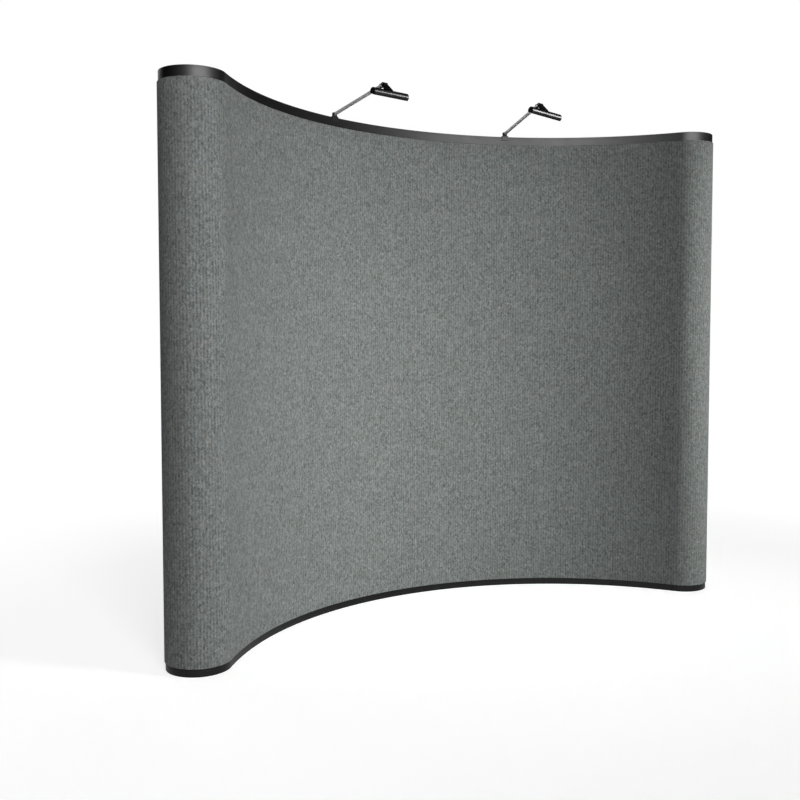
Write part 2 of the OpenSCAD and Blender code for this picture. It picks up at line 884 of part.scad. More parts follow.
placed() bracket(right_lamp);  // right_bracket
placed() housing(right_lamp);  // right_housing
placed() reflector(right_lamp);  // right_reflector
placed() bulb(right_lamp);  // right_bulb
placed() glass(right_lamp);  // right_glass
placed() gland(right_lamp);  // right_gland
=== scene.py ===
"""Curved pop up display wall: fabric panels, black rails, tube frame and arm lamps."""

import json
import math
from functools import partial

import bmesh
import bpy
from bpy.props import FloatProperty, FloatVectorProperty, IntProperty, PointerProperty
from bpy.types import Operator, Panel, PropertyGroup
from mathutils import Matrix, Vector

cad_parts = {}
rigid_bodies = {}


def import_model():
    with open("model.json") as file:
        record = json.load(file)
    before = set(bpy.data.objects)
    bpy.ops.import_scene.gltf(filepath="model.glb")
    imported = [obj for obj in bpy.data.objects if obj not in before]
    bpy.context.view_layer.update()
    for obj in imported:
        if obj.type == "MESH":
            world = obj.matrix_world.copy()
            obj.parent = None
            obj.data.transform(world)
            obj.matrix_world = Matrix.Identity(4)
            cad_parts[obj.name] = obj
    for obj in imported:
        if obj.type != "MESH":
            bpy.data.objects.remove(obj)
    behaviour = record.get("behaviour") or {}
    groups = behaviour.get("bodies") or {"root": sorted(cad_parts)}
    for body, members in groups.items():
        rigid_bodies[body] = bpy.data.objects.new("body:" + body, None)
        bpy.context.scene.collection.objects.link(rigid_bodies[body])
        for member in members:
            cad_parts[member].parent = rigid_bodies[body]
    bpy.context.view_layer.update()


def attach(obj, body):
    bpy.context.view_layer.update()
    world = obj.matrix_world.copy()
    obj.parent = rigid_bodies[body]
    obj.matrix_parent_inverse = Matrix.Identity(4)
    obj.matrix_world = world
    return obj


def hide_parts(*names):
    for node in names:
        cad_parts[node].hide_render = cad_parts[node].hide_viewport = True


bl_info = {
    "name": "Pop up display wall",
    "version": (1, 0, 0),
    "blender": (4, 5, 0),
    "location": "3D View > Sidebar > Display Wall",
    "description": "Builds a curved display wall with its frame, panels, rails and lamps",
    "category": "Add Mesh",
}

for spare in list(bpy.data.objects):
    bpy.data.objects.remove(spare)
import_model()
MM = 0.001
BAYS = 4
ROWS = 3


# ---------------------------------------------------------------- settings


class WallSizes(PropertyGroup):
    height: FloatProperty(
        name="Height", description="Height of the wall", default=2.25, unit="LENGTH"
    )
    radius: FloatProperty(
        name="Face radius",
        description="Radius of the hollow front face, to the rails",
        default=1.4,
        unit="LENGTH",
    )
    arc: FloatProperty(
        name="Face angle",
        description="Angle that the front face covers",
        default=math.radians(109),
        subtype="ANGLE",
    )
    end_radius: FloatProperty(
        name="End radius",
        description="Radius of the half round ends",
        default=0.126,
        unit="LENGTH",
    )
    header: FloatProperty(
        name="Top band", description="Height of the top band", default=0.041, unit="LENGTH"
    )
    footer: FloatProperty(
        name="Bottom band", description="Height of the bottom band", default=0.033, unit="LENGTH"
    )
    rail_depth: FloatProperty(
        name="Rail depth", description="Depth of the rails", default=0.012, unit="LENGTH"
    )
    board: FloatProperty(
        name="Board", description="Thickness of a panel's board", default=0.0025, unit="LENGTH"
    )
    fabric: FloatProperty(
        name="Fabric", description="Thickness of the fabric", default=0.0015, unit="LENGTH"
    )
    seam: FloatProperty(
        name="Seam", description="Gap between two panels", default=0.0006, unit="LENGTH"
    )
    shift: FloatProperty(
        name="Middle",
        description="Distance from the face's deepest point to the middle of the footprint",
        default=0.1981236,
        unit="LENGTH",
    )


class FrameSizes(PropertyGroup):
    hub_radius: FloatProperty(
        name="Hub radius", description="Radius of a hub", default=0.026, unit="LENGTH"
    )
    hub_depth: FloatProperty(
        name="Hub depth", description="Depth of a hub", default=0.024, unit="LENGTH"
    )
    hub_edge: FloatProperty(
        name="Hub height", description="Height of the lowest hubs", default=0.03, unit="LENGTH"
    )
    pin_out: FloatProperty(
        name="Pin distance",
        description="From a hub's centre to a tube pin",
        default=0.0175,
        unit="LENGTH",
    )
    tube: FloatProperty(
        name="Tube", description="Diameter of the frame tubes", default=0.0127, unit="LENGTH"
    )
    bar_width: FloatProperty(
        name="Bar width", description="Width of the channel bars", default=0.032, unit="LENGTH"
    )


class LampSizes(PropertyGroup):
    left: FloatVectorProperty(
        name="Left lamp",
        description="Its place on the wall, the arm's swing and the head's turn",
        size=3,
        subtype="EULER",
        default=(math.radians(-19.2), math.radians(-3.6), math.radians(-2.2)),
    )
    right: FloatVectorProperty(
        name="Right lamp",
        description="Its place on the wall, the arm's swing and the head's turn",
        size=3,
        subtype="EULER",
        default=(math.radians(19.2), math.radians(13.7), math.radians(15.6)),
    )
    rise: FloatProperty(
        name="Rise",
        description="Rise of the arms",
        default=math.radians(12.9),
        subtype="ANGLE",
    )
    arm: FloatProperty(
        name="Arm", description="Length between the arm's pivots", default=0.337, unit="LENGTH"
    )
    arm_width: FloatProperty(
        name="Arm width", description="Diameter of the arm", default=0.015, unit="LENGTH"
    )
    head: FloatProperty(
        name="Head", description="Length of the head", default=0.19, unit="LENGTH"
    )
    head_radius: FloatProperty(
        name="Head radius", description="Radius of the housing", default=0.017, unit="LENGTH"
    )
    drop: FloatProperty(
        name="Drop", description="Housing below its pivot", default=0.05, unit="LENGTH"
    )
    ahead: FloatProperty(
        name="Ahead", description="Housing in front of its pivot", default=0.037, unit="LENGTH"
    )
    aim: FloatProperty(
        name="Aim",
        description="The opening's direction, back from straight down",
        default=math.radians(25),
        subtype="ANGLE",
    )
    mouth: FloatProperty(
        name="Mouth",
        description="Angle of the housing's opening",
        default=math.radians(100),
        subtype="ANGLE",
    )


class Finishes(PropertyGroup):
    cloth: FloatVectorProperty(
        name="Cloth",
        description="Mean colour of the fabric",
        size=3,
        subtype="COLOR",
        default=(0.2, 0.216, 0.211),
    )
    rib: FloatProperty(
        name="Rib", description="Spacing of the fabric's ribs", default=0.0125, unit="LENGTH"
    )
    black: FloatVectorProperty(
        name="Black",
        description="Colour of the rails",
        size=3,
        subtype="COLOR",
        default=(0.0015, 0.0015, 0.0016),
    )
    alloy: FloatVectorProperty(
        name="Alloy",
        description="Colour of the tubes",
        size=3,
        subtype="COLOR",
        default=(0.62, 0.63, 0.65),
    )


class StageLook(PropertyGroup):
    floor: FloatVectorProperty(
        name="Floor",
        description="Colour of the floor",
        size=3,
        subtype="COLOR",
        default=(0.6, 0.6, 0.6),
    )
    ambient: FloatProperty(
        name="Ambient", description="Even light from all round", default=0.13, min=0
    )
    key: FloatProperty(
        name="Key", description="Power of the gridded lamp on the right", default=25.0, min=0
    )
    fill: FloatProperty(
        name="Fill", description="Power of the gridded lamp on the left", default=31.0, min=0
    )
    shine: FloatProperty(
        name="Shine", description="Radiance of the softbox that gloss shows", default=41.0, min=0
    )
    image: IntProperty(
        name="Image", description="Width and height of the picture", default=800
    )


def wall():
    return bpy.context.scene.display_wall


def lattice():
    return bpy.context.scene.display_frame


def lamp_sizes():
    return bpy.context.scene.display_lamps


def finishes():
    return bpy.context.scene.display_finishes


def stage_look():
    return bpy.context.scene.display_stage


# ------------------------------------------------------------------- frames

GAP = 0.3 * MM
RUN_GAP = 0.05 * MM


def move(x=0.0, y=0.0, z=0.0):
    return Matrix.Translation((x, y, z))


def turn(angle, axis):
    return Matrix.Rotation(angle, 4, axis)


def arc_centre():
    w = wall()
    return Vector((0, w.shift - w.radius, 0))


def on_arc(radius, angle, height):
    """A point of the wall at this radius about the arc's centre."""
    centre = arc_centre()
    return (centre.x + radius * math.sin(angle), centre.y + radius * math.cos(angle), height)


def on_wall(angle, depth=0.0, height=0.0):
    """Frame on the wall: X along it, Y away from the viewer, Z up."""
    at = move(*arc_centre()) @ turn(-angle, "Z")
    return at @ move(0, wall().radius + depth, height)


def column(i):
    """Angle of an upright line of hubs."""
    return -wall().arc / 2 + i * wall().arc / BAYS


def row(j):
    """Height of a level line of hubs."""
    edge = lattice().hub_edge
    return edge + j * (wall().height - 2 * edge) / ROWS


def sided(left):
    """Right hand pieces as they are, left hand ones mirrored."""
    return Matrix.Diagonal((-1, 1, 1, 1)) if left else Matrix()


# ------------------------------------------------------------------ outlines


def rounded(outline, radius, steps=3):
    """A closed outline with each corner rounded as far as its sides allow."""
    result = []
    count = len(outline)
    for k in range(count):
        here = Vector(outline[k])
        back = Vector(outline[k - 1]) - here
        ahead = Vector(outline[(k + 1) % count]) - here
        half = back.angle(ahead) / 2
        run = min(radius / math.tan(half), back.length * 0.45, ahead.length * 0.45)
        start = here + back.normalized() * run
        end = here + ahead.normalized() * run
        for s in range(steps + 1):
            t = s / steps
            result.append(tuple(start * (1 - t) ** 2 + here * 2 * t * (1 - t) + end * t**2))
    return result


def ring(radius, count, start, end):
    """Points on an arc, with both its ends."""
    angles = [start + (end - start) * k / (count - 1) for k in range(count)]
    return [(radius * math.cos(a), radius * math.sin(a)) for a in angles]


def rectangle(x0, y0, x1, y1):
    return [(x0, y0), (x1, y0), (x1, y1), (x0, y1)]


def shifted(points, x, y):
    return [(x + a, y + b) for a, b in points]


def eased(outline, edge):
    """The outline drawn in by edge along its own corners' bisectors."""
    if not edge:
        return list(outline)
    count = len(outline)
    area = sum(
        outline[k - 1][0] * outline[k][1] - outline[k][0] * outline[k - 1][1]
        for k in range(count)
    )
    side = 1 if area > 0 else -1
    result = []
    for k in range(count):
        back = Vector(outline[k]) - Vector(outline[k - 1])
        ahead = Vector(outline[(k + 1) % count]) - Vector(outline[k])
        if back.length < 1e-9 or ahead.length < 1e-9:
            result.append(tuple(outline[k]))
            continue
        normal = Vector((-back.y, back.x)).normalized() + Vector((-ahead.y, ahead.x)).normalized()
        normal = normal.normalized() * side
        result.append(tuple(Vector(outline[k]) + normal * edge))
    return result


def tidy_outline(points, least=0.4 * MM):
    """The outline without points that all but touch the one before."""
    kept = []
    for p in points:
        if not kept or (Vector(p) - Vector(kept[-1])).length > least:
            kept.append(p)
    return kept


def eased_shares(count):
    """Steps up to 1, each with its place on a curve that is soft at both ends."""
    shares = [k / count for k in range(1, count + 1)]
    return [(t, t * t * (3 - 2 * t)) for t in shares]


def oval(wide, high, power, sides):
    """An oval's points as (angle, across, up); a power below 1 squares it off."""
    points = []
    for k in range(sides):
        a = math.tau * k / sides
        c, s = math.cos(a), math.sin(a)
        across = wide * math.copysign(abs(c) ** power, c)
        points.append((a, across, high * math.copysign(abs(s) ** power, s)))
    return points


# -------------------------------------------------------------------- meshes


def outward_mesh(name, points, faces):
    """A new mesh with all its faces turned outwards."""
    mesh = bpy.data.meshes.new(name)
    mesh.from_pydata(points, [], faces)
    work = bmesh.new()
    work.from_mesh(mesh)
    bmesh.ops.recalc_face_normals(work, faces=work.faces)
    work.to_mesh(mesh)
    work.free()
    return mesh


def placed(name, data):
    """A new object in the scene."""
    thing = bpy.data.objects.new(name, data)
    bpy.context.scene.collection.objects.link(thing)
    return thing


class Shape:
    """The parts of one piece, gathered before they become its mesh."""

    def __init__(self):
        self.points = []
        self.faces = []
        self.coords = {}

    def add(self, points, faces, at=None, coords=None):
        start = len(self.points)
        at = at or Matrix()
        self.points += [at @ Vector(p) for p in points]
        flipped = at.determinant() < 0
        for face in faces:
            face = [start + k for k in face]
            self.faces.append(tuple(reversed(face)) if flipped else tuple(face))
        if coords:
            for k, pair in enumerate(coords):
                self.coords[start + k] = pair
        return self

    def loft(self, rings, at=None, capped=True, coords=None):
        """Closed rings of equal length, joined one after another."""
        count = len(rings[0])
        points = [p for one in rings for p in one]
        faces = []
        for k in range(len(rings) - 1):
            for i in range(count):
                j = (i + 1) % count
                faces.append(
                    (k * count + i, k * count + j, (k + 1) * count + j, (k + 1) * count + i)
                )
        if capped:
            last = (len(rings) - 1) * count
            faces.append(tuple(reversed(range(count))))
            faces.append(tuple(range(last, last + count)))
        return self.add(points, faces, at, coords)

    def lathe(self, profile, sides=24, at=None, capped=True, flute=None):
        """A profile of (radius, height) turned about Z, its rim cut in by flute."""
        rings = []
        for r, h in profile:
            points = []
            for k in range(sides):
                a = math.tau * k / sides
                reach = r - flute(a, r) if flute else r
                points.append((reach * math.cos(a), reach * math.sin(a), h))
            rings.append(points)
        return self.loft(rings, at, capped)

    def lathe_both(self, profile, sides, at):
        """The same turned form at both ends of the axis."""
        for s in (0, math.pi):
            self.lathe(profile, sides, at=at @ turn(s, "X"))

    def slab(self, outline, low, high, at=None, edge=0.0, axis="Z"):
        """A flat outline made thick, with its two rims eased by edge."""

        def level(points, height):
            if axis == "X":
                return [(height, a, b) for a, b in points]
            return [(a, b, height) for a, b in points]

        inner = eased(outline, edge)
        rings = [level(inner, low)]
        if edge:
            rings += [level(outline, low + edge), level(outline, high - edge)]
        rings.append(level(inner, high))
        return self.loft(rings, at)

    def make(self, name, material, body, nodes, slot, smooth=35.0):
        """The finished piece, riding on its body in place of its nodes."""
        mesh = outward_mesh(name, self.points, self.faces)
        if self.coords:
            layer = mesh.uv_layers.new(name="Flat")
            for loop in mesh.loops:
                layer.data[loop.index].uv = self.coords.get(loop.vertex_index, (0, 0))
        mesh.shade_smooth()
        mesh.set_sharp_from_angle(angle=math.radians(smooth))
        mesh.materials.append(material)
        piece = placed(name, mesh)
        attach(piece, body)
        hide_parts(*nodes)
        return piece


def cut_solid(name, whole_shape, cutter_shape, bevel):
    """One solid less another, with its sharp rims bevelled, as points and faces."""
    made = []
    for label, shape in (("whole", whole_shape), ("cut", cutter_shape)):
        mesh = outward_mesh(f"{name}_{label}", shape.points, shape.faces)
        made.append(placed(mesh.name, mesh))
    whole, cutter = made
    carve = whole.modifiers.new("Carve", "BOOLEAN")
    carve.operation = "DIFFERENCE"
    carve.solver = "EXACT"
    carve.use_self = True
    carve.object = cutter
    ease = whole.modifiers.new("Ease", "BEVEL")
    ease.width = bevel
    ease.segments = 2
    ease.limit_method = "ANGLE"
    ease.angle_limit = math.radians(40)
    ease.use_clamp_overlap = True
    graph = bpy.context.evaluated_depsgraph_get()
    result = whole.evaluated_get(graph).to_mesh()
    points = [tuple(v.co) for v in result.vertices]
    faces = [tuple(p.vertices) for p in result.polygons]
    whole.evaluated_get(graph).to_mesh_clear()
    for thing in made:
        mesh = thing.data
        bpy.data.objects.remove(thing)
        bpy.data.meshes.remove(mesh)
    return points, faces


# ----------------------------------------------------------------- materials


def node_group(name, inputs, outputs):
    """A new shader node group with its sockets, and its input and output nodes."""
    group = bpy.data.node_groups.new(name, "ShaderNodeTree")
    for label, kind, value in inputs:
        socket = group.interface.new_socket(name=label, in_out="INPUT", socket_type=kind)
        if value is not None:
            socket.default_value = value
    for label, kind in outputs:
        group.interface.new_socket(name=label, in_out="OUTPUT", socket_type=kind)
    return group, group.nodes.new("NodeGroupInput"), group.nodes.new("NodeGroupOutput")


NUMBER = "NodeSocketFloat"
COLOUR = "NodeSocketColor"
VECTOR = "NodeSocketVector"


def maths(tree, kind, a, b=None, clamp=False):
    node = tree.nodes.new("ShaderNodeMath")
    node.operation = kind
    node.use_clamp = clamp
    for k, value in enumerate((a, b)):
        if value is None:
            continue
        if isinstance(value, (int, float)):
            node.inputs[k].default_value = value
        else:
            tree.links.new(value, node.inputs[k])
    return node.outputs[0]


def stretched(tree, vector, scale):
    node = tree.nodes.new("ShaderNodeVectorMath")
    node.operation = "MULTIPLY"
    tree.links.new(vector, node.inputs[0])
    node.inputs[1].default_value = scale
    return node.outputs[0]


def noise(tree, vector, scale, detail=2.0, rough=0.5):
    node = tree.nodes.new("ShaderNodeTexNoise")
    node.inputs["Scale"].default_value = scale
    node.inputs["Detail"].default_value = detail
    node.inputs["Roughness"].default_value = rough
    tree.links.new(vector, node.inputs["Vector"])
    return node.outputs["Fac"]


def spread(tree, value, low, high, out_low=0.0, out_high=1.0):
    node = tree.nodes.new("ShaderNodeMapRange")
    node.inputs["From Min"].default_value = low
    node.inputs["From Max"].default_value = high
    node.inputs["To Min"].default_value = out_low
    node.inputs["To Max"].default_value = out_high
    tree.links.new(value, node.inputs["Value"])
    return node.outputs["Result"]


def blended(tree, mask, a, b, kind="MIX"):
    node = tree.nodes.new("ShaderNodeMix")
    node.data_type = "RGBA"
    node.blend_type = kind
    if isinstance(mask, (int, float)):
        node.inputs["Factor"].default_value = mask
    else:
        tree.links.new(mask, node.inputs["Factor"])
    for label, value in (("A", a), ("B", b)):
        socket = [s for s in node.inputs if s.name == label and s.type == "RGBA"][0]
        if hasattr(value, "links"):
            tree.links.new(value, socket)
        else:
            socket.default_value = (*value[:3], 1)
    return [s for s in node.outputs if s.type == "RGBA"][0]


def swing(tree, value, mean, weight):
    """How far a value lies from its mean, times a weight."""
    return maths(tree, "MULTIPLY", maths(tree, "SUBTRACT", value, mean), weight)


def shaded(tree, colour, level):
    """The colour times one grey level."""
    grey = tree.nodes.new("ShaderNodeCombineXYZ")
    for k in range(3):
        tree.links.new(level, grey.inputs[k])
    return blended(tree, 1.0, colour, grey.outputs[0], "MULTIPLY")


def axes(tree, vector):
    """The three numbers of a vector, as X, Y and Z."""
    node = tree.nodes.new("ShaderNodeSeparateXYZ")
    tree.links.new(vector, node.inputs[0])
    return node.outputs


def own_place(tree):
    """The place in the piece's own frame, in metres."""
    return tree.nodes.new("ShaderNodeTexCoord").outputs["Object"]


def flat_place(tree):
    """The place on the piece's flat cut, in metres."""
    node = tree.nodes.new("ShaderNodeUVMap")
    node.uv_map = "Flat"
    return node.outputs[0]


def cells(tree, vector, scale, channel="X"):
    """A chance value for each elongated tuft of yarn."""
    node = tree.nodes.new("ShaderNodeTexVoronoi")
    node.inputs["Scale"].default_value = 1.0
    node.inputs["Randomness"].default_value = 0.8
    tree.links.new(stretched(tree, vector, scale), node.inputs["Vector"])
    return axes(tree, node.outputs["Color"])[channel]


def looped_cloth_group():
    """Heathered loop cloth on the flat cut: ribs, flecks and single loops, with painted shade in
    the pits between the loops.
    """
    if "Looped cloth" in bpy.data.node_groups:
        return bpy.data.node_groups["Looped cloth"]
    tree, given, out = node_group(
        "Looped cloth",
        [
            ("Flat", VECTOR, None),
            ("Colour", COLOUR, (0.2, 0.2, 0.2, 1)),
            ("Rib Count", NUMBER, 80.0),
            ("Fleck", NUMBER, 1.0),
        ],
        [("Colour", COLOUR), ("Height", NUMBER), ("Roughness", NUMBER)],
    )
    flat = given.outputs["Flat"]
    fray = tree.nodes.new("ShaderNodeTexNoise")
    fray.inputs["Scale"].default_value = 1.0
    fray.inputs["Detail"].default_value = 2.0
    tree.links.new(stretched(tree, flat, (420, 260, 1)), fray.inputs["Vector"])
    frayed = tree.nodes.new("ShaderNodeVectorMath")
    frayed.operation = "MULTIPLY_ADD"
    tree.links.new(fray.outputs["Color"], frayed.inputs[0])
    frayed.inputs[1].default_value = (0.004, 0.005, 0)
    tree.links.new(flat, frayed.inputs[2])
    wander = noise(tree, stretched(tree, flat, (18, 5, 1)), 1.0, 1.0)
    across = maths(tree, "ADD", axes(tree, flat)["X"], maths(tree, "MULTIPLY", wander, 0.006))
    turns = maths(tree, "MULTIPLY", across, given.outputs["Rib Count"])
    wave = maths(tree, "SINE", maths(tree, "MULTIPLY", turns, math.tau))
    rib = spread(tree, wave, -1.0, 1.0)
    wool = cells(tree, frayed.outputs[0], (140, 92, 1))
    tufts = cells(tree, frayed.outputs[0], (250, 220, 1))
    pale = maths(tree, "POWER", tufts, 2.5)
    yarn = noise(tree, stretched(tree, flat, (900, 700, 1)), 1.0, 2.0, 0.7)
    cloud = noise(tree, stretched(tree, flat, (10, 14, 1)), 1.0, 3.0, 0.6)
    drift = noise(tree, stretched(tree, flat, (60, 44, 1)), 1.0, 2.0, 0.5)
    loops = tree.nodes.new("ShaderNodeTexVoronoi")
    loops.feature = "SMOOTH_F1"
    loops.inputs["Scale"].default_value = 1.0
    loops.inputs["Smoothness"].default_value = 0.4
    tree.links.new(stretched(tree, flat, (560, 400, 1)), loops.inputs["Vector"])
    pit = spread(tree, loops.outputs["Distance"], 0.1, 0.75)
    layers = (  # each with its mean and its weight in the tone
        (wool, 0.5, 0.34),
        (pale, 0.29, 0.42),
        (yarn, 0.5, 0.5),
        (cloud, 0.5, 0.16),
        (drift, 0.5, 0.3),
        (rib, 0.5, 0.18),
    )
    tone = None
    for layer, mean, weight in layers:
        share = swing(tree, layer, mean, weight)
        tone = share if tone is None else maths(tree, "ADD", tone, share)
    # Painted shade: the tone is darkened in the pits between the loops, where the relief is
    # lowest.
    tone = maths(tree, "SUBTRACT", tone, swing(tree, pit, 0.4, 0.22))
    level = maths(tree, "ADD", 1.0, maths(tree, "MULTIPLY", tone, given.outputs["Fleck"]))
    base = shaded(tree, given.outputs["Colour"], level)
    warm = spread(tree, cells(tree, frayed.outputs[0], (170, 74, 1), "Y"), 0.8, 0.84, 0.0, 0.3)
    tint = blended(tree, warm, base, (0.24, 0.225, 0.195))
    tree.links.new(tint, out.inputs["Colour"])
    loop_top = maths(tree, "MULTIPLY", maths(tree, "SUBTRACT", 1.0, pit), 0.45)
    height = maths(tree, "ADD", maths(tree, "MULTIPLY", rib, 0.3), loop_top)
    height = maths(tree, "ADD", height, maths(tree, "MULTIPLY", wool, 0.25))
    tree.links.new(height, out.inputs["Height"])
    tree.links.new(spread(tree, yarn, 0.3, 0.7, 0.86, 0.98), out.inputs["Roughness"])
    return tree


def fine_grain_group():
    """Fine moulded or sprayed texture, with faint handling marks and dust."""
    if "Fine grain" in bpy.data.node_groups:
        return bpy.data.node_groups["Fine grain"]
    tree, given, out = node_group(
        "Fine grain",
        [
            ("Colour", COLOUR, (0.1, 0.1, 0.1, 1)),
            ("Grain Size", NUMBER, 900.0),
            ("Roughness", NUMBER, 0.4),
            ("Marks", NUMBER, 0.1),
            ("Dust", NUMBER, 0.1),
        ],
        [("Colour", COLOUR), ("Height", NUMBER), ("Roughness", NUMBER)],
    )
    where = own_place(tree)
    grain = tree.nodes.new("ShaderNodeTexNoise")
    grain.inputs["Detail"].default_value = 2.0
    tree.links.new(where, grain.inputs["Vector"])
    tree.links.new(given.outputs["Grain Size"], grain.inputs["Scale"])
    smear = noise(tree, where, 14.0, 3.0, 0.6)
    streak = noise(tree, stretched(tree, where, (60, 60, 9)), 1.0, 3.0, 0.7)
    mark = maths(tree, "MULTIPLY", spread(tree, smear, 0.45, 0.75), given.outputs["Marks"])
    rough = maths(tree, "ADD", given.outputs["Roughness"], mark)
    rough = maths(tree, "ADD", rough, swing(tree, streak, 0.5, 0.06))
    tree.links.new(rough, out.inputs["Roughness"])
    tree.links.new(grain.outputs["Fac"], out.inputs["Height"])
    normal = tree.nodes.new("ShaderNodeNewGeometry").outputs["Normal"]
    lying = spread(tree, axes(tree, normal)["Z"], 0.5, 1.0)
    patchy = spread(tree, noise(tree, where, 160.0, 3.0, 0.7), 0.4, 0.75)
    dust = maths(tree, "MULTIPLY", maths(tree, "MULTIPLY", lying, patchy), given.outputs["Dust"])
    base = shaded(tree, given.outputs["Colour"], spread(tree, smear, 0.3, 0.7, 0.9, 1.12))
    tree.links.new(blended(tree, dust, base, (0.32, 0.31, 0.29)), out.inputs["Colour"])
    return tree


def drawn_metal_group():
    """Fine lines along the length of drawn or extruded metal, with small scratches."""
    if "Drawn metal" in bpy.data.node_groups:
        return bpy.data.node_groups["Drawn metal"]
    tree, given, out = node_group(
        "Drawn metal",
        [
            ("Along", VECTOR, None),
            ("Colour", COLOUR, (0.6, 0.6, 0.6, 1)),
            ("Roughness", NUMBER, 0.3),
            ("Wear", NUMBER, 0.2),
        ],
        [("Colour", COLOUR), ("Height", NUMBER), ("Roughness", NUMBER)],
    )
    along = given.outputs["Along"]
    lines = noise(tree, stretched(tree, along, (3200, 5, 1)), 1.0, 2.0, 0.6)
    scuff = noise(tree, stretched(tree, along, (260, 42, 1)), 1.0, 4.0, 0.75)
    blot = noise(tree, stretched(tree, along, (40, 12, 1)), 1.0, 3.0, 0.6)
    worn = maths(tree, "MULTIPLY", spread(tree, scuff, 0.56, 0.7), given.outputs["Wear"])
    rough = maths(tree, "ADD", given.outputs["Roughness"], maths(tree, "MULTIPLY", worn, 0.25))
    ripple = swing(tree, lines, 0.5, 0.12)
    tree.links.new(maths(tree, "ADD", rough, ripple), out.inputs["Roughness"])
    shade = maths(tree, "ADD", spread(tree, blot, 0.3, 0.7, 0.9, 1.05), ripple)
    base = shaded(tree, given.outputs["Colour"], shade)
    dull = maths(tree, "MULTIPLY", worn, 0.6)
    tree.links.new(blended(tree, dull, base, (0.36, 0.36, 0.37)), out.inputs["Colour"])
    tree.links.new(maths(tree, "ADD", lines, worn), out.inputs["Height"])
    return tree


def shader(name):
    """A material with its shader, or the one that is there already."""
    found = bpy.data.materials.get(name)
    if found:
        return found, None, None
    material = bpy.data.materials.new(name)
    material.use_nodes = True
    tree = material.node_tree
    return material, tree, tree.nodes["Principled BSDF"]


def joined(tree, group, bsdf, strength, distance, **values):
    """The effect group in this material, feeding colour, roughness and relief."""
    node = tree.nodes.new("ShaderNodeGroup")
    node.node_tree = group
    for label, value in values.items():
        node.inputs[label.replace("_", " ")].default_value = value
    tree.links.new(node.outputs["Colour"], bsdf.inputs["Base Color"])
    tree.links.new(node.outputs["Roughness"], bsdf.inputs["Roughness"])
    relief = tree.nodes.new("ShaderNodeBump")
    relief.inputs["Strength"].default_value = strength
    relief.inputs["Distance"].default_value = distance
    tree.links.new(node.outputs["Height"], relief.inputs["Height"])
    tree.links.new(relief.outputs["Normal"], bsdf.inputs["Normal"])
    return node


def solid_colour(rgb):
    return (*rgb, 1)


def cloth_material():
    material, tree, bsdf = shader("Heathered loop cloth")
    if tree:
        look = finishes()
        node = joined(
            tree,
            looped_cloth_group(),
            bsdf,
            strength=0.5,
            distance=0.001,
            Colour=solid_colour(look.cloth),
            Rib_Count=1 / look.rib,
            Fleck=1.35,
        )
        tree.links.new(flat_place(tree), node.inputs["Flat"])
        bsdf.inputs["Sheen Weight"].default_value = 0.06
        bsdf.inputs["Sheen Roughness"].default_value = 0.6
        bsdf.inputs["Specular IOR Level"].default_value = 0.08
    return material


def grained(name, colour, rough, marks, dust, size, strength, distance, level=0.5):
    """A sprayed, moulded or rubber finish; size is its grains in a metre."""
    material, tree, bsdf = shader(name)
    if tree:
        joined(
            tree,
            fine_grain_group(),
            bsdf,
            strength,
            distance,
            Colour=solid_colour(colour),
            Grain_Size=size,
            Roughness=rough,
            Marks=marks,
            Dust=dust,
        )
        bsdf.inputs["Specular IOR Level"].default_value = level
    return material


def rail_black():
    relief = {"size": 420, "strength": 0.05, "distance": 0.0004}
    colour = tuple(finishes().black)
    return grained("Rail black", colour, rough=0.46, marks=0.06, dust=0.0, level=0.14, **relief)


def board_black():
    relief = {"size": 1300, "strength": 0.15, "distance": 0.0003}
    colour = (0.022, 0.022, 0.023)
    return grained("Board black", colour, rough=0.55, marks=0.15, dust=0.05, **relief)


def hub_black():
    relief = {"size": 1700, "strength": 0.18, "distance": 0.0003}
    colour = (0.02, 0.02, 0.021)
    return grained("Hub nylon", colour, rough=0.42, marks=0.12, dust=0.2, **relief)


def rubber_black():
    relief = {"size": 1500, "strength": 0.25, "distance": 0.0004}
    colour = (0.012, 0.012, 0.012)
    return grained("Foot rubber", colour, rough=0.75, marks=0.1, dust=0.06, level=0.15, **relief)


def magnet_brown():
    relief = {"size": 2200, "strength": 0.2, "distance": 0.0002}
    colour = (0.045, 0.036, 0.031)
    return grained("Magnet tape", colour, rough=0.7, marks=0.1, dust=0.05, **relief)


def lamp_black():
    relief = {"size": 1500, "strength": 0.04, "distance": 0.0001}
    colour = (0.004, 0.004, 0.0042)
    return grained("Lamp paint", colour, rough=0.25, marks=0.05, dust=0.0, level=0.2, **relief)


def clamp_black():
    relief = {"size": 1200, "strength": 0.15, "distance": 0.0002}
    colour = (0.006, 0.0055, 0.0055)
    return grained("Clamp paint", colour, rough=0.5, marks=0.08, dust=0.04, level=0.16, **relief)


def knob_black():
    relief = {"size": 2400, "strength": 0.2, "distance": 0.0002}
    colour = (0.016, 0.016, 0.017)
    return grained("Knob plastic", colour, rough=0.5, marks=0.1, dust=0.1, **relief)


def drawn(name, colour, rough, wear, metallic=1.0, uv=True):
    """Drawn or extruded metal, its lines along the flat cut or along the piece's Z."""
    material, tree, bsdf = shader(name)
    if tree:
        node = joined(
            tree,
            drawn_metal_group(),
            bsdf,
            strength=0.12,
            distance=0.0002,
            Colour=solid_colour(colour),
            Roughness=rough,
            Wear=wear,
        )
        if uv:
            along = flat_place(tree)
        else:
            place = axes(tree, own_place(tree))
            joint = tree.nodes.new("ShaderNodeCombineXYZ")
            tree.links.new(maths(tree, "ADD", place["X"], place["Y"]), joint.inputs["X"])
            tree.links.new(place["Z"], joint.inputs["Y"])
            along = joint.outputs[0]
        tree.links.new(along, node.inputs["Along"])
        bsdf.inputs["Metallic"].default_value = metallic
    return material


def tube_alloy():
    return drawn("Tube alloy", tuple(finishes().alloy), rough=0.3, wear=0.6)


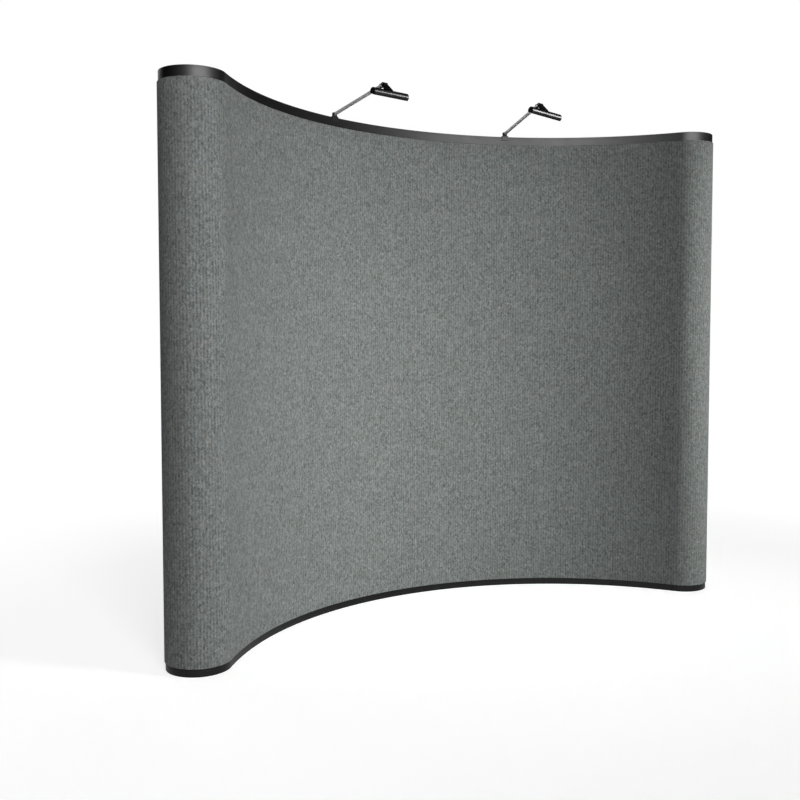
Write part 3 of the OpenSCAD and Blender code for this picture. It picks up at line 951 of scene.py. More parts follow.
def bar_alloy():
    return drawn("Bar alloy", (0.5, 0.51, 0.53), rough=0.38, wear=0.4, uv=False)


def pin_steel():
    return drawn("Pin steel", (0.56, 0.56, 0.57), rough=0.26, wear=0.4, uv=False)


def arm_silver():
    return drawn("Arm silver", (0.76, 0.765, 0.775), rough=0.42, wear=0.2, metallic=0.2)


def reflector_alloy():
    return drawn("Reflector alloy", (0.86, 0.87, 0.88), rough=0.14, wear=0.1, uv=False)


def clear_glass(name, colour, rough):
    """Glass with a faint uneven haze."""
    material, tree, bsdf = shader(name)
    if tree:
        patches = noise(tree, own_place(tree), 60.0, 3.0)
        haze = spread(tree, patches, 0.3, 0.7, rough, rough + 0.08)
        tree.links.new(haze, bsdf.inputs["Roughness"])
        bsdf.inputs["Base Color"].default_value = solid_colour(colour)
        bsdf.inputs["Transmission Weight"].default_value = 0.92
        bsdf.inputs["IOR"].default_value = 1.46
    return material


# -------------------------------------------------------------------- panels

# Angle that an end panel wraps round its end
END_WRAP = math.radians(183)
# The cloth's flat cut counts from this angle left of the middle
FLAT_START = 1.2
BOARD_EASE = 0.6 * MM
CLOTH_EASE = 0.3 * MM


def sheet_profile(near, far_side, ease, steps):
    """A thin upright sheet's section: (depth, height), eased at its rims."""
    w = wall()
    low, high = w.footer, w.height - w.header
    front, back = -far_side, -near
    ease = min(ease, (back - front) * 0.45)
    rise = [low + ease + (high - low - 2 * ease) * k / steps for k in range(steps + 1)]
    outline = [(front, z) for z in rise]
    outline += [(front + ease * 0.3, high - ease * 0.3), (front + ease, high)]
    outline += [(back - ease, high), (back - ease * 0.3, high - ease * 0.3)]
    outline += [(back, z) for z in reversed(rise)]
    outline += [(back - ease * 0.3, low + ease * 0.3), (back - ease, low)]
    outline += [(front + ease, low), (front + ease * 0.3, low + ease * 0.3)]
    return outline


def inset(profile, by):
    """The section drawn in, for the eased ends of a sheet."""
    if not by:
        return profile
    depths = [d for d, _ in profile]
    heights = [h for _, h in profile]
    d0, d1, h0, h1 = min(depths), max(depths), min(heights), max(heights)
    by = min(by, (d1 - d0) * 0.45)
    return [(min(max(d, d0 + by), d1 - by), min(max(h, h0 + by), h1 - by)) for d, h in profile]


def stations(length, count, ease):
    """Places along a sheet with the draw-in at each: eased at both ends."""
    plan = [(0.0, ease), (ease * 0.3, ease * 0.3), (ease, 0.0)]
    inner = [ease + (length - 2 * ease) * k / count for k in range(1, count)]
    plan += [(s, 0.0) for s in inner]
    plan += [(length - ease, 0.0), (length - ease * 0.3, ease * 0.3), (length, ease)]
    return plan


def front_sheet(i, near, far_side, ease, seam, columns=64, heights=40):
    """One layer of a front panel, from near to far_side of the rails' face, and its width."""
    w = wall()
    middle = column(i) + w.arc / BAYS / 2
    face = w.radius - far_side
    half = (w.radius - GAP - w.board - w.fabric) * math.sin(w.arc / BAYS / 2) - seam / 2
    length = 2 * half
    profile = sheet_profile(near, far_side, ease, heights)
    rings, coords = [], []
    for s, draw in stations(length, columns, ease):
        share = s / length * 2 - 1
        points = []
        for d, h in inset(profile, draw):
            r = w.radius + d
            a = middle + share * math.asin(half / r)
            points.append(on_arc(r, a, h))
            coords.append((w.radius * (a + FLAT_START), h))
        rings.append(points)
    return Shape().loft(rings, coords=coords), 2 * math.asin(half / face) * face


def end_sheet(left, near, far_side, ease, seam, columns=72, heights=40):
    """One layer of an end panel, between the same two distances, and its length."""
    w = wall()
    start = math.asin(seam / 2 / w.end_radius)
    radius = w.end_radius + (near + far_side) / 2
    length = radius * (END_WRAP - start)
    profile = sheet_profile(near, far_side, ease, heights)
    at = sided(left) @ on_wall(w.arc / 2, w.end_radius)
    rings, coords = [], []
    for s, draw in stations(length, columns, ease):
        a = start + s / radius
        points = []
        for d, h in inset(profile, draw):
            r = w.end_radius - d
            points.append((r * math.sin(a), -r * math.cos(a), h))
            flat = w.radius * w.arc / 2 + radius * a
            coords.append(((-flat if left else flat) + w.radius * FLAT_START, h))
        rings.append(points)
    return Shape().loft(rings, at=at, coords=coords), length


def dress_panel(body, sheet):
    """A panel's stiff board and the fabric stretched on its face."""
    w = wall()
    inner = GAP + w.board
    board, _ = sheet(GAP, inner, BOARD_EASE, w.seam, heights=2)
    backing = board.make(f"{body}_backing", board_black(), body, [f"{body}_board"], "panel_board")
    cloth, width = sheet(inner, inner + w.fabric, CLOTH_EASE, w.seam / 3)
    skin = cloth.make(f"{body}_cloth", cloth_material(), body, [f"{body}_fabric"], "panel_fabric")


class WALL_OT_front_panels(Operator):
    """Builds the four front panels: stiff boards with looped fabric on their faces"""

    bl_idname = "display_wall.front_panels"
    bl_label = "Front Panels"

    def execute(self, context):
        for i in range(BAYS):
            dress_panel(f"panel_{i + 1}", partial(front_sheet, i))
        return {"FINISHED"}


class WALL_OT_end_panels(Operator):
    """Builds the two half round end panels"""

    bl_idname = "display_wall.end_panels"
    bl_label = "End Panels"

    def execute(self, context):
        for side in ("left", "right"):
            dress_panel(f"end_{side}", partial(end_sheet, side == "left"))
        return {"FINISHED"}


# --------------------------------------------------------------------- rails

RAIL_WALL = 2.0 * MM
RAIL_LAP = 12 * MM
RAIL_EASE = 0.7 * MM
LIP = 14 * MM
FLOOR_GAP = 1.0 * MM
BAY_STEPS = 48
ROUND_STEPS = 96


def header_outline():
    """The top rail's section as (depth, height), with the lip that a clamp grips."""
    w = wall()
    low, high, d, t = w.height - w.header - RAIL_LAP, w.height, w.rail_depth, RAIL_WALL
    points = [(0, low), (d, low), (d, low + t), (t, low + t), (t, high - t)]
    points += [(d - t, high - t), (d - t, high - LIP), (d, high - LIP), (d, high), (0, high)]
    return rounded(points, RAIL_EASE)


def footer_outline():
    """The bottom rail's section as (depth, height)."""
    w = wall()
    low, high, d, t = FLOOR_GAP, w.footer + RAIL_LAP, w.rail_depth, RAIL_WALL
    points = [(0, low), (d, low), (d, low + t), (t, low + t), (t, high - t)]
    points += [(d, high - t), (d, high), (0, high)]
    return rounded(points, RAIL_EASE)


def rail_lengths(outline):
    """The rail's four long lengths along the front, one to each bay."""
    w = wall()
    shape = Shape()
    gap = math.asin(GAP / w.radius) / 2
    for i in range(BAYS):
        first, last = column(i) + gap, column(i + 1) - gap
        rings, coords = [], []
        for k in range(BAY_STEPS + 1):
            a = first + (last - first) * k / BAY_STEPS
            rings.append([on_arc(w.radius + d, a, h) for d, h in outline])
            coords += [(w.radius * a, h) for _, h in outline]
        shape.loft(rings, coords=coords)
    return shape


def rail_round(outline, left, hub_at):
    """A half round end length, with room for the hub at this height."""
    w = wall()
    start = math.asin(GAP / w.end_radius)
    relief = lattice().hub_radius + 2 * GAP
    reach = w.end_radius - w.rail_depth
    rings = []
    for k in range(ROUND_STEPS + 1):
        a = start + (math.pi - start) * k / ROUND_STEPS
        points = []
        for d, h in outline:
            r = w.end_radius - d
            x, y = r * math.sin(a), -r * math.cos(a)
            if math.hypot(x, h - hub_at) < relief and abs(y) < reach:
                y = math.copysign(reach, y)
            points.append((x, y, h))
        rings.append(points)
    return Shape().loft(rings, at=sided(left) @ on_wall(w.arc / 2, w.end_radius))


class WALL_OT_rails(Operator):
    """Builds the black top and bottom rails with their half round ends"""

    bl_idname = "display_wall.rails"
    bl_label = "Rails"

    def execute(self, context):
        rails = (("header", header_outline(), row(ROWS)), ("footer", footer_outline(), row(0)))
        for kind, outline, hub_at in rails:
            band = rail_lengths(outline)
            band.make(f"{kind}_band", rail_black(), "frame", [f"{kind}_rail"], "rail_black")
            for side in ("left", "right"):
                name, node = f"{kind}_band_{side}", f"{kind}_end_{side}"
                end = rail_round(outline, side == "left", hub_at)
                end.make(name, rail_black(), "frame", [node], "rail_black")
        return {"FINISHED"}


# ---------------------------------------------------------------------- bars

STRIP = 1.5 * MM
BAR_FACE = GAP + STRIP
# Half the gap between two lengths of a bar
HALF_BUTT = 0.3 * MM


def bar_spans():
    """Foot and top of each length of a bar."""
    w = wall()
    low = w.footer + RAIL_LAP + GAP
    high = w.height - w.header - RAIL_LAP - GAP
    cuts = [low] + [row(j) for j in range(1, ROWS)] + [high]
    return [
        (cuts[j] + (HALF_BUTT if j else 0), cuts[j + 1] - (HALF_BUTT if j < ROWS - 1 else 0))
        for j in range(ROWS)
    ]


def channel_bar(at):
    """One folding bar in its three lengths, open towards the hubs."""
    half, t, d = lattice().bar_width / 2, RAIL_WALL, wall().rail_depth
    outline = [(-half, BAR_FACE), (half, BAR_FACE), (half, d), (half - t, d)]
    outline += [(half - t, BAR_FACE + t), (-half + t, BAR_FACE + t), (-half + t, d), (-half, d)]
    outline = rounded(outline, 0.6 * MM, 3)
    shape = Shape()
    for low, high in bar_spans():
        shape.slab(outline, low, high, at=at, edge=0.3 * MM)
    return shape


def rear_bar_frame(left):
    w = wall()
    return sided(left) @ on_wall(w.arc / 2, 2 * w.end_radius) @ Matrix.Diagonal((1, -1, 1, 1))


class WALL_OT_bars(Operator):
    """Builds the channel bars and gives the magnet tape its finish"""

    bl_idname = "display_wall.bars"
    bl_label = "Channel Bars"

    def execute(self, context):
        bars = {f"channel_bar_{i + 1}": on_wall(column(i)) for i in range(BAYS + 1)}
        for side in ("left", "right"):
            bars[f"rear_bar_{side}"] = rear_bar_frame(side == "left")
        for name, at in bars.items():
            shape = channel_bar(at)
            shape.make(f"{name}_section", bar_alloy(), "frame", [name], "bar_aluminium")
        tape = bpy.data.objects["magnet_strips"]
        for slot in tape.material_slots:
            slot.material = magnet_brown()
        return {"FINISHED"}


# --------------------------------------------------------------------- frame

# Flat faces of turned pieces start this far from their axis
CORE = 0.2 * MM
HUB_CORE = 1 * MM


def hub_frames(rear):
    """The column, row and frame of each front or rear hub."""
    w = wall()
    for i in range(BAYS + 1):
        for j in range(ROWS + 1):
            if rear:
                out = 2 * w.end_radius - w.rail_depth
                yield i, j, on_wall(column(i), out, row(j)) @ turn(math.pi, "Z")
            else:
                yield i, j, on_wall(column(i), w.rail_depth, row(j))


def link_side():
    """How far a tube's axis lies from the plane where its pair crosses."""
    return (lattice().tube + 1.2 * MM) / 2


def tang_width():
    """Width of a tube's pressed end."""
    return lattice().tube - 0.7 * MM


def hub_mesh():
    """One moulded hub: a round body with four slots, a rim groove and a boss."""
    f = lattice()
    r, d = f.hub_radius, f.hub_depth
    lay = turn(-math.pi / 2, "X")
    groove = 0.7 * MM
    profile = [(HUB_CORE, 0), (r - 7 * MM, 0), (r - 6.2 * MM, groove), (r - 4.2 * MM, groove)]
    profile += [(r - 3.4 * MM, 0), (r - 1.4 * MM, 0), (r - 0.4 * MM, 0.4 * MM), (r, 1.4 * MM)]
    profile += [(r, d * 0.42), (r - 0.5 * MM, d * 0.45), (r - 0.5 * MM, d * 0.55)]
    profile += [(r, d * 0.58), (r, d - 1.4 * MM), (r - 0.4 * MM, d - 0.4 * MM)]
    profile += [(r - 1.4 * MM, d), (9 * MM, d), (8.2 * MM, d - 1.2 * MM), (HUB_CORE, d - 1.2 * MM)]
    whole = Shape().lathe(profile, 64, at=lay)
    cut = Shape()
    slot_w = 3.4 * MM
    first = f.pin_out - tang_width() / 2 - 0.65 * MM
    floor = d / 2 - tang_width() / 2 - 1 * MM
    side = link_side()
    slot = rounded(rectangle(first, floor, r * 1.3, d * 1.3), 1 * MM, 3)
    for k in range(4):
        at = turn(-k * math.pi / 2, "Y")
        cut.slab(slot, side - slot_w / 2, side + slot_w / 2, at=at)
    points, faces = cut_solid("hub", whole, cut, 0.5 * MM)
    half_w = (f.bar_width - 2 * RAIL_WALL - 2 * GAP) / 2
    boss_l = wall().rail_depth - BAR_FACE - RAIL_WALL - GAP
    sunk = 0.5 * MM
    outline = rounded(rectangle(-half_w, -12 * MM, half_w, 12 * MM), 2 * MM, 4)
    spot = move(0, sunk, 0) @ turn(math.pi / 2, "X")
    boss = Shape().slab(outline, 0, boss_l + sunk, at=spot, edge=0.5 * MM)
    return points, faces, boss


class WALL_OT_hubs(Operator):
    """Builds the moulded hubs at the frame's joints"""

    bl_idname = "display_wall.hubs"
    bl_label = "Hubs"

    def execute(self, context):
        points, faces, boss = hub_mesh()
        for name, rear in (("front_hubs", False), ("rear_hubs", True)):
            shape = Shape()
            for _, _, at in hub_frames(rear):
                shape.add(points, faces, at)
                shape.add(boss.points, boss.faces, at)
            shape.make(f"{name}_moulded", hub_black(), "frame", [name], "hub_plastic", smooth=32)
        return {"FINISHED"}


def link(shape, length, at):
    """A tube along X, pressed flat and rounded at both drilled ends."""
    r = lattice().tube / 2
    half_w, half_t = tang_width() / 2, 1.5 * MM
    flat_l, blend_l = 13 * MM, 17 * MM
    plan = []
    for k in range(5):
        a = math.pi / 2 * k / 4
        plan.append((-half_w * math.cos(a), max(half_w * math.sin(a), 0.6 * MM), half_t))
    plan += [(6 * MM, half_w, half_t), (flat_l, half_w, half_t)]
    for t, e in eased_shares(7):
        plan.append((flat_l + blend_l * t, half_w + (r - half_w) * e, half_t + (r - half_t) * e))
    plan += [(length * 0.3, r, r), (length / 2, r, r)]
    plan += [(length - x, wide, thick) for x, wide, thick in reversed(plan[:-1])]
    rings, coords = [], []
    for x, wide, thick in plan:
        blunt = 1 - min(1.0, (thick - half_t) / (r - half_t))
        section = oval(wide, thick, 1 - 0.55 * blunt, sides=20)
        rings.append([(x, y, z) for _, y, z in section])
        coords += [(r * a, x) for a, _, _ in section]
    shape.loft(rings, at=at, coords=coords)


def row_frames():
    """Frames of the row tubes, and of their crossings."""
    w, f = wall(), lattice()
    half = w.arc / BAYS / 2
    front = w.radius + w.rail_depth + f.hub_depth / 2
    rear = w.radius + 2 * w.end_radius - w.rail_depth - f.hub_depth / 2
    start = Vector(
        (
            -front * math.sin(half) + f.pin_out * math.cos(half),
            front * math.cos(half) + f.pin_out * math.sin(half),
        )
    )
    end = Vector(
        (
            rear * math.sin(half) - f.pin_out * math.cos(half),
            rear * math.cos(half) + f.pin_out * math.sin(half),
        )
    )
    run = end - start
    cross = start.y - start.x / run.x * run.y
    for i in range(BAYS):
        for j in range(ROWS + 1):
            bay = move(*arc_centre()) @ turn(-(column(i) + half), "Z") @ move(0, 0, row(j))
            one = move(start.x, start.y, link_side()) @ turn(math.atan2(run.y, run.x), "Z")
            yield bay, one, run.length, bay @ move(0, cross, 0)


def column_frames():
    """Frames of the column tubes, and of their crossings."""
    w, f = wall(), lattice()
    depth = 2 * w.end_radius - w.rail_depth * 2 - f.hub_depth
    middle = w.rail_depth + f.hub_depth / 2 + depth / 2
    step = row(1) - row(0)
    rise = step - 2 * f.pin_out
    length = math.hypot(depth, rise)
    lean = math.atan2(depth, rise)
    for i in range(BAYS + 1):
        for j in range(ROWS):
            bay = on_wall(column(i), middle, row(j) + step / 2)
            one = move(-link_side(), 0, 0) @ turn(-lean, "X") @ turn(-math.pi / 2, "Y")
            yield bay, one @ move(-length / 2, 0, 0), length, bay @ turn(math.pi / 2, "Y")


class WALL_OT_tubes(Operator):
    """Builds the crossing tubes of the rows and of the columns"""

    bl_idname = "display_wall.tubes"
    bl_label = "Tubes"

    def execute(self, context):
        for name, frames in (("row_tubes", row_frames()), ("column_tubes", column_frames())):
            shape = Shape()
            for bay, one, length, _ in frames:
                link(shape, length, bay @ one)
                link(shape, length, bay @ turn(math.pi, "Y") @ one)
            shape.make(f"{name}_pressed", tube_alloy(), "frame", [name], "tube_aluminium")
        return {"FINISHED"}


def pin_profile(low, high, radius, ease):
    """The profile of a plain round piece with both its rims eased."""
    return [
        (CORE, low),
        (radius - ease, low),
        (radius, low + ease),
        (radius, high - ease),
        (radius - ease, high),
        (CORE, high),
    ]


def dome(low, radius, rise, steps=5):
    """The profile of a rivet's rounded head."""
    profile = [(CORE, low), (radius, low), (radius, low + rise * 0.25)]
    for k in range(1, steps):
        a = math.pi / 2 * k / steps
        profile.append((radius * math.cos(a), low + rise * (0.25 + 0.75 * math.sin(a))))
    return profile + [(CORE, low + rise)]


class WALL_OT_pins(Operator):
    """Builds the hub pins and the rivets where tubes cross"""

    bl_idname = "display_wall.pins"
    bl_label = "Pins and Rivets"

    def execute(self, context):
        f = lattice()
        side, pin_r = link_side(), 2 * MM
        profile = pin_profile(side - 8 * MM + GAP, side + 8 * MM, pin_r, 0.4 * MM)
        shape = Shape()
        for rear in (False, True):
            for i, j, at in hub_frames(rear):
                right, left = (i > 0, i < BAYS) if rear else (i < BAYS, i > 0)
                for k, used in enumerate((right, j < ROWS, left, j > 0)):
                    if used:
                        spot = turn(-k * math.pi / 2, "Y") @ move(f.pin_out, f.hub_depth / 2, 0)
                        shape.lathe(profile, 16, at=at @ spot)
        shape.make("hub_pins_turned", pin_steel(), "frame", ["hub_pins"], "steel_pins")
        rivets = Shape()
        grip = side + f.tube / 2 + RUN_GAP
        for frames in (row_frames(), column_frames()):
            for _, _, _, at in frames:
                rivets.lathe(pin_profile(-grip, grip, pin_r, 0.2 * MM), 16, at=at)
                rivets.lathe(pin_profile(-0.5 * MM, 0.5 * MM, 5 * MM, 0.2 * MM), 24, at=at)
                rivets.lathe_both(dome(grip, 4 * MM, 1.6 * MM), 20, at)
        rivets.make("cross_rivets_headed", pin_steel(), "frame", ["cross_rivets"], "steel_pins")
        return {"FINISHED"}


def post_profiles():
    """The socket and the spigot of a locking post, as (radius, height)."""
    w = wall()
    reach = w.end_radius - w.rail_depth - lattice().hub_depth - GAP
    r, plug, top = 7 * MM, 5 * MM, reach + 12 * MM
    base = [(HUB_CORE, 0), (r, 0), (r, 3 * MM), (r - 0.6 * MM, 4 * MM)]
    base += [(r - 0.6 * MM, reach - 16 * MM), (r, reach - 15 * MM), (r, reach - 1 * MM)]
    base += [(r - 0.6 * MM, reach)]
    bore = plug + 0.2 * MM
    socket = base + [(plug + 0.4 * MM, reach), (bore, reach - 0.6 * MM)]
    socket += [(bore, reach - 13 * MM), (HUB_CORE, reach - 13 * MM)]
    spigot = base + [(plug, reach + 0.1 * MM), (plug, reach + 4 * MM)]
    spigot += [(plug - 0.5 * MM, reach + 5 * MM), (plug - 0.5 * MM, reach + 6.5 * MM)]
    spigot += [(plug, reach + 7.5 * MM), (plug, top - 1.5 * MM), (plug - 1.5 * MM, top)]
    return socket, spigot + [(HUB_CORE, top)]


def foot_profile():
    """A foot from the floor up into its hub, as (radius, height)."""
    r, top = 9 * MM, lattice().hub_edge - lattice().hub_radius + 2.2 * MM
    profile = [(HUB_CORE, 0), (r - 1 * MM, 0), (r, 1 * MM), (r, 2 * MM)]
    profile += [(r - 0.7 * MM, 2.4 * MM), (r - 0.7 * MM, 3 * MM), (r, 3.4 * MM)]
    return profile + [(r, top - 0.5 * MM), (r - 0.8 * MM, top), (HUB_CORE, top)]


class WALL_OT_posts(Operator):
    """Builds the locking posts and the rubber feet"""

    bl_idname = "display_wall.posts"
    bl_label = "Posts and Feet"

    def execute(self, context):
        f = lattice()
        lay = turn(-math.pi / 2, "X")
        socket, spigot = post_profiles()
        posts = (("front_lock_posts", False, socket), ("rear_lock_posts", True, spigot))
        for name, rear, profile in posts:
            shape = Shape()
            for i, j, at in hub_frames(rear):
                if 0 < i < BAYS and 0 < j < ROWS:
                    shape.lathe(profile, 28, at=at @ move(0, f.hub_depth, 0) @ lay)
            shape.make(f"{name}_moulded", hub_black(), "frame", [name], "hub_plastic")
        feet = Shape()
        for rear in (False, True):
            for _, j, at in hub_frames(rear):
                if j == 0:
                    spot = move(0, f.hub_depth / 2, -f.hub_edge)
                    feet.lathe(foot_profile(), 28, at=at @ spot)
        feet.make("feet_moulded", rubber_black(), "frame", ["feet"], "foot_rubber")
        return {"FINISHED"}


# --------------------------------------------------------------------- lamps

PIVOT = 16 * MM
LAMP_IN = 6 * MM
EYE_BACK = 18 * MM


class LampFrames:
    """The frames of one lamp, from its clamp to its housing."""

    def __init__(self, side):
        s = lamp_sizes()
        place, swing, head_turn = s.left if side == "left" else s.right
        self.clamp = on_wall(place, 0, wall().height)
        self.turret = self.clamp @ move(0, LAMP_IN, 0) @ turn(swing, "Z")
        self.arm = self.turret @ move(0, 0, PIVOT) @ turn(-s.rise, "X")
        self.knuckle = self.arm @ move(0, EYE_BACK - s.arm, 0) @ turn(head_turn, "Z")
        self.head = self.knuckle @ move(0, -EYE_BACK, 0) @ turn(s.rise, "X")
        self.housing = self.head @ move(0, -s.ahead, -s.drop)


def lamp_piece(side, shape, name, material, body, node, slot):
    """A finished piece of one lamp, riding on one of that lamp's bodies."""
    return shape.make(f"{side}_{name}", material, f"{side}_{body}", [f"{side}_{node}"], slot)


def fluted(count, depth, radius):
    """Grip flutes round a knob: how deep its rim is cut at an angle and radius."""

    def cut(angle, at_radius):
        return max(0.0, math.cos(count * angle)) ** 2 * depth * (at_radius / radius) ** 6

    return cut


def clamp_parts(side, at):
    """The bracket over the rail, its pressure pad, and the screw with its knob."""
    d = wall().rail_depth
    outline = [(-3.3, -18), (-0.3, -18), (-0.3, 0.3), (18, 0.3), (18, -15), (26, -15)]
    outline += [(26, 4.3), (-3.3, 4.3)]
    outline = rounded([(y * MM, z * MM) for y, z in outline], 1.6 * MM, 4)
    half = 16 * MM
    bracket = Shape().slab(outline, -half, half, at=at, edge=0.6 * MM, axis="X")
    lamp_piece(side, bracket, "clamp_bracket", clamp_black(), "clamp", "clamp", "lamp_black")
    lay = at @ move(0, 0, -7 * MM) @ turn(-math.pi / 2, "X")
    pad = Shape().lathe(pin_profile(d + GAP, d + GAP + 2 * MM, 5.5 * MM, 0.4 * MM), 32, at=lay)
    lamp_piece(side, pad, "clamp_disc", pin_steel(), "clamp_pad", "clamp_pad", "steel_pins")
    screw = Shape()
    start, out, pitch = d + 2.6 * MM, 29 * MM, 1 * MM
    thread = [(CORE, start), (2.4 * MM, start)]
    for k in range(int((out - start) / pitch)):
        thread += [(2.5 * MM, start + (k + 0.1) * pitch), (3 * MM, start + (k + 0.5) * pitch)]
        thread += [(2.5 * MM, start + (k + 0.9) * pitch)]
    screw.lathe(thread + [(2.5 * MM, out + 1 * MM), (CORE, out + 1 * MM)], 20, at=lay)
    r, end = 8 * MM, out + 10 * MM
    knob = [(CORE, out), (r - 2 * MM, out), (r - 0.6 * MM, out + 0.4 * MM)]
    knob += [(r, out + 1.4 * MM), (r, end - 2 * MM), (r - 0.8 * MM, end - 0.7 * MM)]
    knob += [(r - 2 * MM, end), (r * 0.5, end), (r * 0.45, end - 0.8 * MM)]
    knob += [(CORE, end - 0.8 * MM)]
    screw.lathe(knob, 96, at=lay, flute=fluted(8, 1.0 * MM, r))
    lamp_piece(
        side, screw, "clamp_knob", knob_black(), "clamp_screw", "clamp_screw", "knob_plastic"
    )


def bolt_head(low, radius, rise):
    """A round head with its rim eased and a socket in the middle."""
    return [
        (CORE, low),
        (radius, low),
        (radius, low + rise * 0.6),
        (radius * 0.8, low + rise),
        (radius * 0.45, low + rise),
        (radius * 0.42, low + rise * 0.4),
        (CORE, low + rise * 0.4),
    ]


def ear_outline(radius, drop):
    """An upright ear: square at its foot, round at the top, as (y, z)."""
    return ring(radius, 15, 0.0, math.pi) + [(-radius, -drop), (radius, -drop)]


def turret_parts(side, at):
    """The swivel base with two ears that hold the arm's lower end."""
    low, base_t = 4.6 * MM, 2.7 * MM
    shape = Shape()
    profile = [(CORE, low), (12.4 * MM, low), (13 * MM, low + 0.6 * MM)]
    profile += [(13 * MM, low + 1.9 * MM), (12.2 * MM, low + base_t), (CORE, low + base_t)]
    shape.lathe(profile, 48, at=at)
    shape.lathe(pin_profile(0.4 * MM, low + 1 * MM, 4 * MM, 0.3 * MM), 24, at=at)
    up = at @ move(0, 0, PIVOT)
    outline = ear_outline(8 * MM, PIVOT - low)
    for s in (-1, 1):
        near, out = sorted((s * 5.3 * MM, s * 8.3 * MM))
        shape.slab(outline, near, out, at=up, edge=0.5 * MM, axis="X")
    lie = up @ turn(math.pi / 2, "Y")
    shape.lathe(pin_profile(-9.1 * MM, 9.1 * MM, 3 * MM, 0.2 * MM), 20, at=lie)
    shape.lathe_both(bolt_head(8.6 * MM, 5 * MM, 3 * MM), 24, lie)
    lamp_piece(side, shape, "turret_swivel", clamp_black(), "turret", "turret", "lamp_black")


def arm_parts(side, at):
    """One tube, its lower end pressed upright and its upper end pressed level."""
    s = lamp_sizes()
    r = s.arm_width / 2
    tang = r - GAP
    low_half, low_flat, low_blend = 5 * MM, 9 * MM, 13 * MM
    eye_r, eye_half, eye_blend = 9 * MM, 4.8 * MM, 14 * MM
    square = 0.45
    run = s.arm - EYE_BACK
    round_to = run - 24 * MM
    quarter = [math.pi / 2 * k / 5 for k in range(6)]
    plan = []
    for a in quarter:
        plan.append((-tang * math.cos(a), low_half, max(tang * math.sin(a), 0.8 * MM), square))
    plan += [(low_flat, low_half, tang, square)]
    for t, e in eased_shares(6):
        wide, tall = low_half + (r - low_half) * e, tang + (r - tang) * e
        plan.append((low_flat + low_blend * t, wide, tall, square + (1 - square) * e))
    plan += [(run * 0.35, r, r, 1), (run * 0.65, r, r, 1), (round_to, r, r, 1)]
    for t, e in eased_shares(6):
        wide, tall = r + (eye_r - r) * e, r + (eye_half - r) * e
        plan.append((round_to + eye_blend * t, wide, tall, 1 - (1 - square) * e))
    plan.append((run, eye_r, eye_half, square))
    for a in quarter[1:]:
        wide = max(eye_r * math.cos(a), 0.8 * MM)
        plan.append((run + eye_r * math.sin(a), wide, eye_half, square))
    rings, coords = [], []
    for y, wide, tall, power in plan:
        section = oval(wide, tall, power, sides=32)
        rings.append([(x, -y, z) for _, x, z in section])
        coords += [(r * a, y) for a, _, _ in section]
    shape = Shape().loft(rings, at=at, coords=coords)
    lamp_piece(side, shape, "arm_tube", arm_silver(), "arm", "arm", "arm_silver")


def knuckle_parts(side, at):
    """The fork round the arm's eye, with its cross barrel and pin."""
    shape = Shape()
    fork_in, fork_t, foot, neck = 5.1 * MM, 2.5 * MM, 7 * MM, -10 * MM
    outline = ring(8 * MM, 15, 0.0, math.pi)
    outline += [(-foot, neck), (-foot, -EYE_BACK), (foot, -EYE_BACK), (foot, neck)]
    for low in (fork_in, -fork_in - fork_t):
        shape.slab(outline, low, low + fork_t, at=at, edge=0.4 * MM)
    across = at @ move(0, -EYE_BACK, 0) @ turn(math.pi / 2, "Y")
    shape.lathe(pin_profile(-7 * MM, 7 * MM, 7.6 * MM, 0.5 * MM), 36, at=across)
    shape.lathe(pin_profile(-8 * MM, 8 * MM, 2.5 * MM, 0.2 * MM), 16, at=at)
    shape.lathe_both(bolt_head(7.65 * MM, 4.5 * MM, 1.5 * MM), 20, at)
    lamp_piece(side, shape, "knuckle_fork", lamp_black(), "knuckle", "knuckle", "lamp_black")


def ear_and_saddle(boss_r, saddle):
    """One three-cornered ear, from its pivot boss to the saddle on the housing."""
    s = lamp_sizes()
    r = s.head_radius
    outline = ring(boss_r, 11, math.radians(90), math.radians(240))
    outline += [(s.drop - r * 1.05, -s.ahead - r * 0.62)]
    low, high = math.atan2(-0.45, -0.9), math.atan2(0.75, -0.66) - math.tau
    outline += shifted(ring(saddle, 9, low, high), s.drop, -s.ahead)
    return tidy_outline(outline + [(s.drop - r * 0.5, r * 0.95 - s.ahead)])


def bracket_parts(side, at):
    """Two ears from the pivot to the housing, a strap, a bolt and a hand knob."""
    s = lamp_sizes()
    shape = Shape()
    axis = at @ turn(math.pi / 2, "Y")
    boss_r = 7.6 * MM
    saddle = s.head_radius + RUN_GAP
    near, thick = 7.3 * MM, 2.5 * MM
    for low in (near, -near - thick):
        ear = ear_and_saddle(boss_r, saddle)
        shape.slab(ear, low, low + thick, at=axis, edge=0.35 * MM)
    out = near + thick
    first, last = math.radians(97), math.radians(263)
    strap = ring(saddle + 2.2 * MM, 25, first, last) + ring(saddle, 25, last, first)
    shape.slab(shifted(strap, s.drop, -s.ahead), -out, out, at=axis, edge=0.4 * MM)
    shape.lathe(pin_profile(-out - 2 * MM, out + 4 * MM, 2.5 * MM, 0.2 * MM), 16, at=axis)
    face = out + 0.1 * MM
    shape.lathe(bolt_head(face, 4.5 * MM, 2.9 * MM), 24, at=axis @ turn(math.pi, "X"))
    knob = [(CORE, face), (boss_r - 1.4 * MM, face), (boss_r, out + 1.4 * MM)]
    knob += [(boss_r, out + 6.4 * MM), (boss_r - 1.6 * MM, out + 8.1 * MM)]
    knob += [(CORE, out + 8.1 * MM)]
    shape.lathe(knob, 72, at=axis, flute=fluted(6, 0.8 * MM, boss_r))
    lamp_piece(side, shape, "head_bracket", lamp_black(), "head", "bracket", "lamp_black")


HEAD_WALL = 1.6 * MM
CAP = 3 * MM


